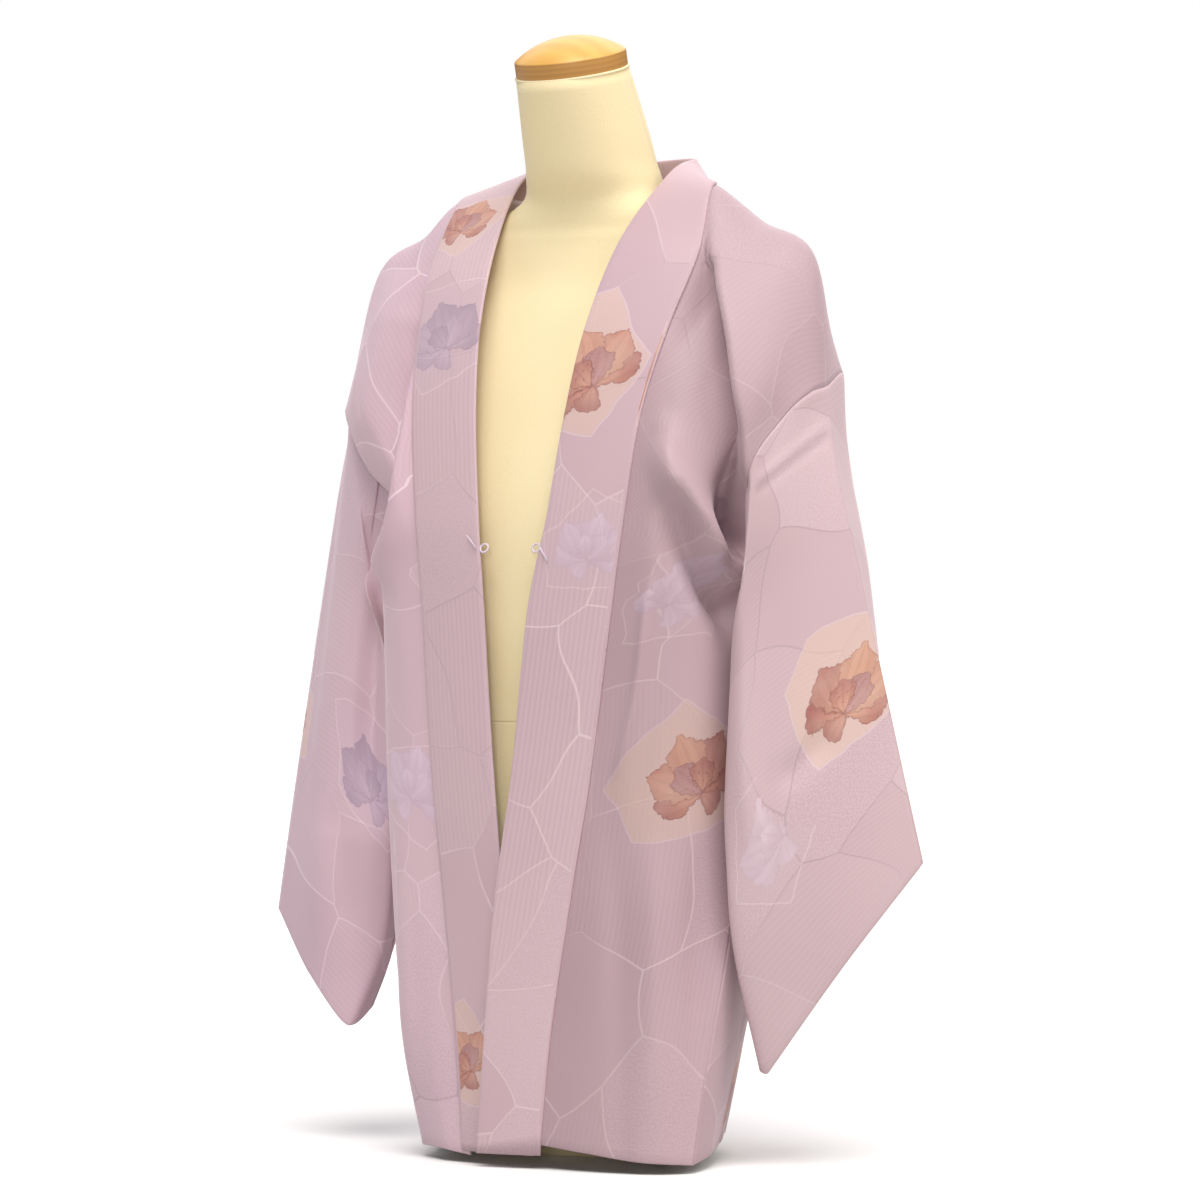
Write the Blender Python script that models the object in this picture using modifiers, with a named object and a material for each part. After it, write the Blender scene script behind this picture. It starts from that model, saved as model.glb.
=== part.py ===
"""Haori jacket on a limbless dress form.

Metres, +Z up. +X is the wearer's left, -Y the front. The form stands on z = 0 and the
jacket's hem hangs just above it. Each half of the jacket is one length of cloth from the
front hem over the shoulder to the back hem, with a gusset at the side, a folded sleeve
and half of the collar band.
"""

import math

import bmesh
import bpy
import numpy as np

# Cloth and clearances
WALL = 0.002
SEAM_GAP = 0.0004
CENTRE_GAP = 0.0004
CORNER_CLEAR = 0.0008
ARMPIT_CLEAR = 0.0028
LOOP_RADIUS = 0.0045
LOOP_WIRE = 0.0008

# Dress form: height, centre_y, half_width, front, back, squareness
FORM_ROWS = (
    (0.000, -0.010, 0.080, 0.058, 0.052, 2.0),
    (0.030, -0.010, 0.096, 0.074, 0.062, 2.1),
    (0.090, -0.012, 0.118, 0.092, 0.072, 2.2),
    (0.160, -0.012, 0.130, 0.108, 0.082, 2.2),
    (0.235, -0.010, 0.126, 0.111, 0.088, 2.2),
    (0.340, -0.008, 0.110, 0.111, 0.080, 2.1),
    (0.425, -0.008, 0.120, 0.112, 0.086, 2.1),
    (0.505, -0.008, 0.132, 0.108, 0.090, 2.2),
    (0.585, -0.002, 0.148, 0.090, 0.086, 2.2),
    (0.645, 0.004, 0.170, 0.070, 0.070, 2.2),
    (0.680, 0.006, 0.182, 0.054, 0.052, 2.1),
    (0.704, 0.006, 0.178, 0.046, 0.044, 2.0),
    (0.716, 0.008, 0.157, 0.045, 0.044, 2.0),
    (0.727, 0.009, 0.118, 0.044, 0.044, 2.0),
    (0.746, 0.008, 0.066, 0.046, 0.045, 2.0),
    (0.769, 0.001, 0.054, 0.052, 0.047, 2.0),
    (0.799, -0.012, 0.050, 0.049, 0.049, 2.0),
    (0.846, -0.0325, 0.0442, 0.0442, 0.0442, 2.0),
)
NECK_LEAN = math.radians(15.0)
LEAN_FROM = 0.746
CAP_RADIUS = 0.0442
CAP_BAND = 0.013
CAP_DOME = 0.0153
CAP_SEAT = 0.0003

# Body cloth, from the hem up: collar edge, chest, arm and side line, each x, y, z.
FRONT_LEFT = (
    ((0.038, -0.150, 0.019), (0.080, -0.152, 0.015), (0.123, -0.147, 0.010), (0.157, -0.120, 0.007)),
    ((0.045, -0.146, 0.104), (0.087, -0.146, 0.104), (0.130, -0.137, 0.104), (0.163, -0.100, 0.104)),
    ((0.059, -0.141, 0.204), (0.100, -0.138, 0.204), (0.140, -0.120, 0.204), (0.166, -0.072, 0.204)),
    ((0.074, -0.135, 0.304), (0.112, -0.130, 0.304), (0.147, -0.108, 0.304), (0.166, -0.056, 0.304)),
    ((0.088, -0.129, 0.424), (0.122, -0.127, 0.424), (0.152, -0.105, 0.429), (0.168, -0.055, 0.434)),
    ((0.096, -0.124, 0.494), (0.128, -0.124, 0.494), (0.156, -0.108, 0.489), (0.172, -0.066, 0.484)),
    ((0.102, -0.108, 0.574), (0.137, -0.110, 0.562), (0.168, -0.103, 0.549), (0.187, -0.082, 0.535)),
    ((0.113, -0.086, 0.639), (0.148, -0.088, 0.624), (0.186, -0.082, 0.599), (0.203, -0.060, 0.572)),
    ((0.120, -0.050, 0.699), (0.152, -0.050, 0.684), (0.190, -0.044, 0.659), (0.212, -0.036, 0.590)),
)
FRONT_RIGHT = (
    ((0.032, -0.140, 0.007), (0.055, -0.138, 0.010), (0.083, -0.116, 0.010), (0.100, -0.080, 0.010)),
    ((0.040, -0.138, 0.104), (0.070, -0.136, 0.104), (0.102, -0.122, 0.104), (0.122, -0.085, 0.104)),
    ((0.051, -0.137, 0.204), (0.085, -0.133, 0.204), (0.115, -0.115, 0.204), (0.137, -0.072, 0.204)),
    ((0.063, -0.135, 0.304), (0.095, -0.128, 0.304), (0.124, -0.108, 0.304), (0.147, -0.058, 0.304)),
    ((0.075, -0.129, 0.424), (0.108, -0.122, 0.424), (0.134, -0.098, 0.429), (0.153, -0.042, 0.434)),
    ((0.083, -0.1255, 0.494), (0.115, -0.119, 0.494), (0.138, -0.101, 0.492), (0.152, -0.060, 0.490)),
    ((0.096, -0.110, 0.574), (0.128, -0.110, 0.564), (0.155, -0.100, 0.551), (0.173, -0.074, 0.539)),
    ((0.105, -0.087, 0.639), (0.142, -0.088, 0.626), (0.175, -0.078, 0.601), (0.198, -0.052, 0.574)),
    ((0.115, -0.050, 0.699), (0.148, -0.050, 0.684), (0.180, -0.044, 0.659), (0.211, -0.032, 0.588)),
)

# Shoulder ridge and neckline: side, arm, chest, neck, nape and centre-back points.
RIDGE_LEFT = (
    (0.214, -0.012, 0.596), (0.196, 0.000, 0.697), (0.150, 0.000, 0.726),
    (0.1088, 0.000, 0.756), (0.070, 0.058, 0.750), (0.000, 0.083, 0.741),
)
RIDGE_RIGHT = (
    (0.214, -0.012, 0.596), (0.196, 0.000, 0.697), (0.150, 0.000, 0.726),
    (0.112, 0.000, 0.754), (0.070, 0.058, 0.750), (0.000, 0.083, 0.741),
)
# Upper back, from the shoulder down, with the same six columns.
BACK_UPPER = (
    ((0.206, 0.030, 0.608), (0.178, 0.045, 0.664), (0.142, 0.058, 0.692),
     (0.106, 0.068, 0.706), (0.060, 0.086, 0.704), (0.000, 0.097, 0.698)),
    ((0.196, 0.050, 0.584), (0.170, 0.080, 0.614), (0.134, 0.096, 0.632),
     (0.092, 0.106, 0.644), (0.048, 0.108, 0.649), (0.000, 0.108, 0.649)),
)
# Lower back, from the armpit level down: side x, y, z, then centre y, z, then squareness.
BACK_LEFT = (
    (0.184, 0.062, 0.5440, 0.114, 0.5640, 3.0),
    (0.174, 0.046, 0.4840, 0.114, 0.4940, 2.8),
    (0.166, 0.000, 0.4340, 0.114, 0.4240, 2.6),
    (0.166, -0.018, 0.3040, 0.112, 0.3040, 2.2),
    (0.162, -0.024, 0.2040, 0.106, 0.2040, 1.8),
    (0.150, -0.030, 0.1040, 0.096, 0.1040, 1.35),
    (0.134, -0.038, 0.0140, 0.088, 0.0180, 1.2),
)
BACK_RIGHT = (
    (0.178, 0.060, 0.5440, 0.114, 0.5640, 3.0),
    (0.164, 0.046, 0.4920, 0.114, 0.4940, 2.8),
    (0.152, 0.002, 0.4340, 0.114, 0.4240, 2.6),
    (0.150, -0.012, 0.3040, 0.112, 0.3040, 2.3),
    (0.146, -0.018, 0.2040, 0.106, 0.2040, 2.0),
    (0.134, -0.022, 0.1040, 0.096, 0.1040, 1.7),
    (0.118, -0.026, 0.0120, 0.088, 0.0180, 1.5),
)
BACK_COLUMNS = (0.0, 0.16, 0.38, 0.58, 0.79, 1.0)
ARMPIT_ROW = 4

# Collar: free edge from the hem up, then the ridge, nape and centre back.
COLLAR_LEFT = (
    (-0.010, -0.158, 0.010), (-0.005, -0.154, 0.104), (0.001, -0.149, 0.204),
    (0.013, -0.143, 0.304), (0.023, -0.137, 0.424), (0.036, -0.131, 0.494),
    (0.044, -0.117, 0.574), (0.051, -0.096, 0.644), (0.057, -0.052, 0.712),
    (0.068, 0.006, 0.766), (0.058, 0.058, 0.781), (0.000, 0.072, 0.781),
)
COLLAR_RIGHT = (
    (-0.031, -0.146, 0.009), (-0.020, -0.144, 0.104), (-0.004, -0.143, 0.204),
    (0.006, -0.143, 0.304), (0.018, -0.137, 0.424), (0.025, -0.1335, 0.494),
    (0.037, -0.118, 0.574), (0.047, -0.095, 0.644), (0.058, -0.052, 0.712),
    (0.068, 0.006, 0.766), (0.058, 0.058, 0.781), (0.000, 0.072, 0.781),
)

# Sleeve sections from near the seam to the cuff: share of the length, then the points
# front edge, front fold, front middle, crease, back middle, back fold, back edge.
SLEEVE_LEFT = (
    (0.15, ((0.179, -0.058, 0.400), (0.186, -0.092, 0.472), (0.200, -0.074, 0.508),
            (0.226, -0.020, 0.537), (0.210, 0.034, 0.538), (0.194, 0.064, 0.486),
            (0.178, 0.006, 0.400))),
    (0.34, ((0.180, -0.050, 0.345), (0.174, -0.087, 0.394), (0.206, -0.064, 0.439),
            (0.2415, -0.017, 0.467), (0.223, 0.042, 0.449), (0.196, 0.062, 0.404),
            (0.182, 0.006, 0.345))),
    (0.66, ((0.178, -0.046, 0.224), (0.171, -0.092, 0.269), (0.214, -0.068, 0.319),
            (0.2665, -0.012, 0.354), (0.234, 0.042, 0.329), (0.196, 0.052, 0.289),
            (0.180, -0.008, 0.224))),
    (0.84, ((0.180, -0.040, 0.139), (0.174, -0.090, 0.179), (0.226, -0.063, 0.239),
            (0.2805, -0.009, 0.290), (0.243, 0.032, 0.262), (0.198, 0.030, 0.215),
            (0.180, -0.036, 0.139))),
    (1.00, ((0.184, -0.050, 0.078), (0.191, -0.068, 0.072), (0.243, -0.046, 0.152),
            (0.293, -0.006, 0.233), (0.236, 0.010, 0.186), (0.196, -0.014, 0.122),
            (0.184, -0.044, 0.078))),
)
SLEEVE_RIGHT = (
    (0.15, ((0.164, -0.036, 0.400), (0.168, -0.064, 0.464), (0.190, -0.066, 0.505),
            (0.2235, -0.0205, 0.531), (0.208, 0.032, 0.532), (0.190, 0.058, 0.480),
            (0.166, 0.012, 0.400))),
    (0.34, ((0.162, -0.026, 0.345), (0.163, -0.050, 0.384), (0.194, -0.058, 0.425),
            (0.237, -0.022, 0.453), (0.220, 0.034, 0.439), (0.192, 0.054, 0.394),
            (0.170, 0.014, 0.345))),
    (0.66, ((0.162, -0.024, 0.224), (0.162, -0.048, 0.252), (0.202, -0.062, 0.292),
            (0.2575, -0.026, 0.322), (0.230, 0.030, 0.306), (0.192, 0.044, 0.274),
            (0.168, 0.002, 0.224))),
    (0.84, ((0.168, -0.034, 0.149), (0.168, -0.050, 0.168), (0.210, -0.068, 0.210),
            (0.268, -0.028, 0.252), (0.236, 0.016, 0.236), (0.192, 0.022, 0.202),
            (0.168, -0.030, 0.149))),
    (1.00, ((0.180, -0.052, 0.098), (0.188, -0.070, 0.094), (0.228, -0.062, 0.134),
            (0.278, -0.030, 0.182), (0.240, 0.000, 0.156), (0.196, -0.020, 0.116),
            (0.180, -0.046, 0.098))),
)

# Largest folds: start x, y, z, end x, y, z, then width and height (below 0 is a trough).
FOLDS_LEFT = (
    ((0.154, -0.066, 0.655), (0.181, -0.094, 0.582), 0.012, 0.007),
    ((0.141, -0.082, 0.646), (0.167, -0.105, 0.556), 0.013, -0.011),
    ((0.144, -0.117, 0.520), (0.160, -0.092, 0.468), 0.013, 0.008),
    ((0.147, -0.119, 0.478), (0.160, -0.082, 0.416), 0.012, -0.008),
    ((0.042, 0.078, 0.014), (0.040, 0.118, 0.464), 0.016, 0.009),
    ((0.074, 0.056, 0.014), (0.070, 0.112, 0.414), 0.013, -0.008),
    ((0.104, 0.060, 0.200), (0.105, 0.100, 0.484), 0.018, 0.007),
)
FOLDS_RIGHT = (
    ((0.108, -0.090, 0.640), (0.114, -0.124, 0.490), 0.010, 0.004),
    ((0.124, -0.086, 0.650), (0.132, -0.113, 0.487), 0.014, -0.010),
    ((0.108, -0.116, 0.494), (0.146, -0.078, 0.454), 0.013, 0.005),
    ((0.050, 0.078, 0.014), (0.046, 0.118, 0.414), 0.015, 0.009),
    ((0.084, 0.056, 0.014), (0.080, 0.112, 0.454), 0.014, -0.008),
    ((0.100, 0.060, 0.200), (0.104, 0.100, 0.424), 0.017, 0.007),
)

# Facets per table row and column
ALONG = 3
ACROSS = 3
SLEEVE_ROWS = 12
FORM_SEGMENTS = 32

COLOURS = {
    "silk": ((0.66, 0.50, 0.58), 0.55),
    "cord": ((0.72, 0.60, 0.72), 0.6),
    "form_cloth": ((0.86, 0.77, 0.55), 0.8),
    "wood": ((0.78, 0.50, 0.22), 0.35),
}


def clear_scene():
    for obj in list(bpy.data.objects):
        bpy.data.objects.remove(obj)


def material(name):
    colour, roughness = COLOURS[name]
    found = bpy.data.materials.get(name) or bpy.data.materials.new(name)
    found.use_nodes = True
    shader = found.node_tree.nodes["Principled BSDF"]
    shader.inputs["Base Color"].default_value = (*colour, 1.0)
    shader.inputs["Roughness"].default_value = roughness
    return found


def curve(points, places):
    """Points of a smooth curve through `points`, at places counted in points."""
    points = np.asarray(points, float)
    padded = np.concatenate([2 * points[:1] - points[1:2], points, 2 * points[-1:] - points[-2:-1]])
    places = np.asarray(places, float)
    start = np.clip(places.astype(int), 0, len(points) - 2)
    t = (places - start).reshape((-1,) + (1,) * (points.ndim - 1))
    a, b, c, d = (padded[start + k] for k in range(4))
    bend = 2 * a - 5 * b + 4 * c - d
    return 0.5 * (2 * b + (c - a) * t + bend * t**2 + (3 * (b - c) + d - a) * t**3)


def steps(count, per_step):
    return np.linspace(0, count, count * per_step + 1)


def unit(vectors):
    return vectors / np.linalg.norm(vectors, axis=-1, keepdims=True)


def set_in(line, into_neighbour, into_piece):
    """The line moved into its piece, so that two walls that meet at an angle stay clear."""
    a, b = unit(into_neighbour), unit(into_piece)
    cosine = (a * b).sum(axis=-1, keepdims=True)
    sine = np.sqrt(np.clip(1 - cosine**2, 0, 1))
    return line + b * (SEAM_GAP + WALL / 2 * sine) / np.maximum(-cosine, 0.45)


def normals(grid):
    across = np.gradient(grid, axis=1)
    along = np.gradient(grid, axis=0)
    return unit(np.cross(across, along))


def folded(grid, folds, hold=1.0):
    """The grid moved in or out along its normals where a fold runs, by the share in `hold`."""
    facing = normals(grid)
    moved = grid.copy()
    for start, end, width, height in folds:
        start, end = np.array(start), np.array(end)
        run = end - start
        share = np.clip(((grid - start) @ run) / (run @ run), 0, 1)
        gap = np.linalg.norm(grid - start - share[..., None] * run, axis=-1)
        moved += facing * (hold * height * np.exp(-((gap / width) ** 2)))[..., None]
    return moved


def back_row(side_x, side_y, side_z, centre_y, centre_z, squareness):
    """Six points from the side line round to the centre back, on a squared quarter ellipse."""
    row = []
    for share in BACK_COLUMNS:
        angle = share * math.pi / 2
        out = math.cos(angle) ** (2 / max(squareness, 2.0))
        back = math.sin(angle) ** (2 / squareness)
        z = side_z + (centre_z - side_z) * share
        row.append((side_x * out, side_y + (centre_y - side_y) * back, z))
    return row


class Half:
    """One half of the jacket, worked out as if it were the left one."""

    def __init__(self, front, ridge, back, collar, sleeve, folds):
        front_rows = [row[::-1] for row in front]
        back_rows = [back_row(*row) for row in back[::-1]] + list(BACK_UPPER[::-1])
        wide = np.array(back_rows + [ridge])
        self.ridge_at = (len(wide) - 1) * ALONG
        narrow = np.array(front_rows[::-1])
        outer = steps(3, ACROSS)
        inner = 3 + steps(2, ACROSS)[1:]
        wide_rows = curve(wide.transpose(1, 0, 2), outer).transpose(1, 0, 2)
        narrow_rows = curve(narrow.transpose(1, 0, 2), outer).transpose(1, 0, 2)
        rows = np.concatenate([wide_rows, narrow_rows])
        sheet = curve(rows, steps(len(rows) - 1, ALONG))
        self.main = folded(sheet, folds, self.seam_hold(sheet.shape[:2]))
        inner_rows = curve(wide.transpose(1, 0, 2), inner).transpose(1, 0, 2)
        self.inner = folded(curve(inner_rows, steps(len(wide) - 1, ALONG)), folds)
        self.armpit_front = self.main.shape[0] - 1 - ARMPIT_ROW * ALONG
        self.armpit_back = ARMPIT_ROW * ALONG
        self.collar_edge = collar
        self.sleeve_rows = sleeve

    def seam_hold(self, shape):
        """How far a fold may lift each point: not at all on the side, armhole and collar seams."""
        rows, columns = shape
        column = np.arange(columns)
        hold = np.ones(shape) * np.clip(column / 2, 0, 1)
        hold[self.ridge_at :] *= np.clip(column[::-1] / 2, 0, 1)
        return hold

    def body(self):
        """Points and faces of the body cloth, with the centre back set off the middle."""
        inner = self.inner.copy()
        inner[:, -1, 0] = CENTRE_GAP
        height, width = self.main.shape[:2]
        points = np.concatenate([self.main.reshape(-1, 3), inner.reshape(-1, 3)])
        faces = grid_faces(height, width, 0)
        first = height * width
        deep = inner.shape[1]
        faces += grid_faces(inner.shape[0], deep, first)
        for row in range(inner.shape[0] - 1):
            a, b = row * width + width - 1, (row + 1) * width + width - 1
            faces.append((a, first + row * deep, first + (row + 1) * deep, b))
        return points, faces

    def gusset(self):
        """The wedge between the front and back side lines, from the hem to the armpit."""
        front = self.main[::-1][: ARMPIT_ROW * ALONG]
        back = self.main[: ARMPIT_ROW * ALONG]
        across = back[:, 0] - front[:, 0]
        first = set_in(front[:, 0], front[:, 1] - front[:, 0], across)
        last = set_in(back[:, 0], back[:, 1] - back[:, 0], -across)
        share = np.linspace(0, 1, 4)[None, :, None]
        grid = first[:, None] * (1 - share) + last[:, None] * share
        bulge = np.linalg.norm(last - first, axis=1)[:, None] * np.sin(math.pi * share[..., 0])
        grid[..., 0] += 0.05 * bulge
        return grid.reshape(-1, 3), grid_faces(*grid.shape[:2], 0)

    def seam_to_collar(self):
        """The body's edge along the collar, front hem to centre back, and the way in from it."""
        front = self.main[self.ridge_at :][::-1]
        edge = np.concatenate([front[:, -1], self.inner[-1]])
        below = np.concatenate([front[:, -2], self.inner[-2]])
        below[len(front) - 1] = self.main[self.ridge_at, -2]
        return edge, below - edge

    def collar_grid(self):
        edge, into_body = self.seam_to_collar()
        rows = len(self.collar_edge) - 3
        places = np.concatenate([steps(rows, ALONG), rows + steps(2, ACROSS)[1:]])
        free = curve(np.array(self.collar_edge), places)
        sewn = set_in(edge, into_body, free - edge)
        sewn[0, 2] = free[0, 2]
        corner = rows * ALONG
        sewn[corner] += unit(free - edge)[corner] * CORNER_CLEAR
        share = np.linspace(0, 1, 4)[None, :, None]
        return sewn[:, None] * (1 - share) + free[:, None] * share

    def armhole(self):
        """The body's side line over the shoulder, from front armpit to back armpit."""
        strip = self.main[self.armpit_back : self.armpit_front + 1][::-1]
        return strip[:, 0], strip[:, 1] - strip[:, 0]

    def sleeve(self):
        edge, into_body = self.armhole()
        count = len(edge)
        sections = []
        for _, points in self.sleeve_rows:
            front = curve(np.array(points[:4]), np.linspace(0, 3, count // 2 + 1))
            back = curve(np.array(points[3:]), np.linspace(0, 3, count - count // 2))
            sections.append(np.concatenate([front, back[1:]]))
        into_sleeve = unit(sections[0] - edge)
        first = set_in(edge, into_body, into_sleeve)
        from_armpit = np.minimum(np.arange(count), np.arange(count)[::-1])
        first[:, 0] += ARMPIT_CLEAR * np.clip(1 - from_armpit / 4, 0, 1)
        shares = [0.0] + [share for share, _ in self.sleeve_rows]
        places = np.interp(np.linspace(0, 1, SLEEVE_ROWS + 1), shares, range(len(shares)))
        grid = curve(np.array([first] + sections), places)
        return grid, places


def grid_faces(rows, columns, first):
    faces = []
    for row in range(rows - 1):
        for column in range(columns - 1):
            a = first + row * columns + column
            faces.append((a, a + 1, a + columns + 1, a + columns))
    return faces


def shell(name, points, faces, slot, mirrored=False, merge=0.0):
    """An open sheet given the wall's thickness about its middle."""
    points = np.array(points)
    if mirrored:
        points = points * (-1, 1, 1)
    mesh = bpy.data.meshes.new(name)
    mesh.from_pydata(points.tolist(), [], faces)
    work = bmesh.new()
    work.from_mesh(mesh)
    if merge:
        bmesh.ops.remove_doubles(work, verts=work.verts, dist=merge)
    bmesh.ops.recalc_face_normals(work, faces=work.faces)
    work.to_mesh(mesh)
    work.free()
    mesh.shade_smooth()
    obj = bpy.data.objects.new(name, mesh)
    solidify = obj.modifiers.new("wall", "SOLIDIFY")
    solidify.thickness = WALL
    solidify.offset = 0.0
    obj.data.materials.append(material(slot))
    parts.objects.link(obj)
    return obj


def build_half(side, half, mirrored):
    points, faces = half.body()
    shell(f"body_{side}", points, faces, "silk", mirrored)
    points, faces = half.gusset()
    shell(f"gusset_{side}", points, faces, "silk", mirrored)
    build_sleeve(side, half, mirrored)


def build_sleeve(side, half, mirrored):
    """A tube with a slit on the body side that closes towards the cuff."""
    grid, places = half.sleeve()
    closed_from = int(np.argmax(places >= len(half.sleeve_rows) - 1))
    middle = (grid[closed_from:, 0] + grid[closed_from:, -1]) / 2
    grid[closed_from:, 0] = middle
    grid[closed_from:, -1] = middle
    faces = grid_faces(*grid.shape[:2], 0)
    shell(f"sleeve_{side}", grid.reshape(-1, 3), faces, "silk", mirrored, merge=1e-5)


def build_collar(left, right):
    first = left.collar_grid()
    second = right.collar_grid()[::-1] * (-1, 1, 1)
    grid = np.concatenate([first, second[1:]])
    grid[len(first) - 1, :, 0] = 0.0
    shell("collar", grid.reshape(-1, 3), grid_faces(*grid.shape[:2], 0), "silk")


def ring(row, segments):
    _, centre_y, half_width, front, back, squareness = row
    points = []
    lean = max(0.0, row[0] - LEAN_FROM) / (FORM_ROWS[-1][0] - LEAN_FROM)
    for k in range(segments):
        angle = 2 * math.pi * k / segments
        c, s = math.cos(angle), math.sin(angle)
        x = half_width * math.copysign(abs(c) ** (2 / squareness), c)
        reach = back if s > 0 else front
        y = centre_y + reach * math.copysign(abs(s) ** (2 / squareness), s)
        points.append((x, y, row[0] + (y - centre_y) * math.tan(NECK_LEAN) * lean))
    return points


def build_torso():
    rows = curve(np.array(FORM_ROWS), steps(len(FORM_ROWS) - 1, 2))
    rows[0, 0] = 0.0
    segments = FORM_SEGMENTS
    rings = np.array([ring(row, segments) for row in rows])
    points = rings.reshape(-1, 3)
    faces = []
    for row in range(len(rows) - 1):
        for k in range(segments):
            a, b = row * segments + k, row * segments + (k + 1) % segments
            faces.append((a, b, b + segments, a + segments))
    faces.append(tuple(range(segments))[::-1])
    faces.append(tuple(range((len(rows) - 1) * segments, len(rows) * segments)))
    mesh = bpy.data.meshes.new("form_torso")
    mesh.from_pydata(points.tolist(), [], faces)
    mesh.shade_smooth()
    obj = bpy.data.objects.new("form_torso", mesh)
    obj.data.materials.append(material("form_cloth"))
    parts.objects.link(obj)


def turned(name, profile, slot, segments=FORM_SEGMENTS):
    """A profile of radius and height turned round Z."""
    mesh = bpy.data.meshes.new(name)
    points = [(radius, 0.0, height) for radius, height in profile]
    mesh.from_pydata(points, [(k, k + 1) for k in range(len(points) - 1)], [])
    obj = bpy.data.objects.new(name, mesh)
    screw = obj.modifiers.new("turn", "SCREW")
    screw.steps = segments
    screw.render_steps = segments
    screw.use_merge_vertices = True
    screw.merge_threshold = 0.0001
    screw.use_smooth_shade = True
    obj.data.materials.append(material(slot))
    parts.objects.link(obj)
    return obj


def place_on_neck(obj, height):
    """Stands a turned piece on the neck's top, along the neck's lean."""
    top = np.array(FORM_ROWS[-1])
    along = np.array([0.0, -math.sin(NECK_LEAN), math.cos(NECK_LEAN)])
    foot = np.array([0.0, top[1], top[0]])
    obj.location = foot + along * height
    obj.rotation_euler = (NECK_LEAN, 0.0, 0.0)


def build_cap():
    dome = 6
    sphere = (CAP_RADIUS ** 2 + CAP_DOME ** 2) / (2 * CAP_DOME)
    widest = math.asin(CAP_RADIUS / sphere)
    profile = [(0.0, CAP_BAND + CAP_DOME)]
    for k in range(1, dome):
        angle = widest * k / dome
        drop = sphere * (1 - math.cos(angle))
        profile.append((sphere * math.sin(angle), CAP_BAND + CAP_DOME - drop))
    profile += [(CAP_RADIUS, CAP_BAND), (CAP_RADIUS, 0.0), (0.0, 0.0)]
    place_on_neck(turned("form_cap", profile, "wood"), CAP_SEAT)


def build_loop(side, half, mirrored):
    """A small thread ring that stands off the collar's free edge."""
    grid = half.collar_grid()
    row = 5 * ALONG - 1
    edge, inside = grid[row, -1], grid[row, -2]
    out = unit(edge - inside)
    centre = edge + out * (LOOP_RADIUS + LOOP_WIRE + 0.0003)
    bpy.ops.mesh.primitive_torus_add(
        major_segments=16, minor_segments=6, major_radius=LOOP_RADIUS, minor_radius=LOOP_WIRE
    )
    obj = bpy.context.active_object
    obj.name = f"loop_{side}"
    for collection in list(obj.users_collection):
        collection.objects.unlink(obj)
    parts.objects.link(obj)
    obj.location = centre * ((-1 if mirrored else 1), 1, 1)
    obj.rotation_euler = (math.radians(70), 0.0, 0.0)
    obj.data.materials.append(material("cord"))
    obj.data.shade_smooth()


clear_scene()
parts = bpy.data.collections.new("haori_jacket_on_dress_form")
bpy.context.scene.collection.children.link(parts)
left_half = Half(FRONT_LEFT, RIDGE_LEFT, BACK_LEFT, COLLAR_LEFT, SLEEVE_LEFT, FOLDS_LEFT)
right_half = Half(FRONT_RIGHT, RIDGE_RIGHT, BACK_RIGHT, COLLAR_RIGHT, SLEEVE_RIGHT, FOLDS_RIGHT)
build_half("left", left_half, False)
build_half("right", right_half, True)
build_collar(left_half, right_half)
build_torso()
build_cap()
build_loop("left", left_half, False)
build_loop("right", right_half, True)
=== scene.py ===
import math

import bmesh
import bpy
import numpy as np
from mathutils import Matrix, Vector


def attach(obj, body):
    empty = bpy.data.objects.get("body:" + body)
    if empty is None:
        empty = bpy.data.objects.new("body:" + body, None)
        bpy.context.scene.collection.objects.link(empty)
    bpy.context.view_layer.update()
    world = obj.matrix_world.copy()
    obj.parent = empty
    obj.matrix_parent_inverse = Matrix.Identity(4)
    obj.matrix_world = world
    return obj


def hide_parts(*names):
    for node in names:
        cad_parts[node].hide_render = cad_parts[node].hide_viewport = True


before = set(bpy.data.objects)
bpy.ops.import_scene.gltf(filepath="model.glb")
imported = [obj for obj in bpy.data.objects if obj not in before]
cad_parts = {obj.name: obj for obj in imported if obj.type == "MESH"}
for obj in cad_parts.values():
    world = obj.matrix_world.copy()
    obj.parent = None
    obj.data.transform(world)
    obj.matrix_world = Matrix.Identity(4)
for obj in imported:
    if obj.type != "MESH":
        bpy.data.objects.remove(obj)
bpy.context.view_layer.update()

# ---- Dress form torso ----
# The real one is a moulded limbless torso with a leaning neck, covered in smooth
# cream jersey that is sewn up the sides of the neck and round the waist.

# Columns: height, centre_y, half_width, front, back, squareness
FORM_ROWS = (
    (0.000, -0.010, 0.080, 0.058, 0.052, 2.0),
    (0.030, -0.010, 0.096, 0.074, 0.062, 2.1),
    (0.090, -0.012, 0.118, 0.092, 0.072, 2.2),
    (0.160, -0.012, 0.130, 0.108, 0.082, 2.2),
    (0.235, -0.010, 0.126, 0.111, 0.088, 2.2),
    (0.340, -0.008, 0.110, 0.111, 0.080, 2.1),
    (0.425, -0.008, 0.120, 0.112, 0.086, 2.1),
    (0.505, -0.008, 0.132, 0.108, 0.090, 2.2),
    (0.585, -0.002, 0.148, 0.090, 0.086, 2.2),
    (0.645, 0.004, 0.170, 0.070, 0.070, 2.2),
    (0.680, 0.006, 0.182, 0.054, 0.052, 2.1),
    (0.704, 0.006, 0.178, 0.046, 0.044, 2.0),
    (0.716, 0.008, 0.157, 0.045, 0.044, 2.0),
    (0.727, 0.009, 0.118, 0.044, 0.044, 2.0),
    (0.746, 0.008, 0.066, 0.046, 0.045, 2.0),
    (0.769, 0.001, 0.054, 0.052, 0.047, 2.0),
    (0.799, -0.012, 0.050, 0.049, 0.049, 2.0),
    (0.846, -0.0325, 0.0442, 0.0442, 0.0442, 2.0),
)
ROWS_BETWEEN = 5
FORM_SEGMENTS = 96
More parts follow.
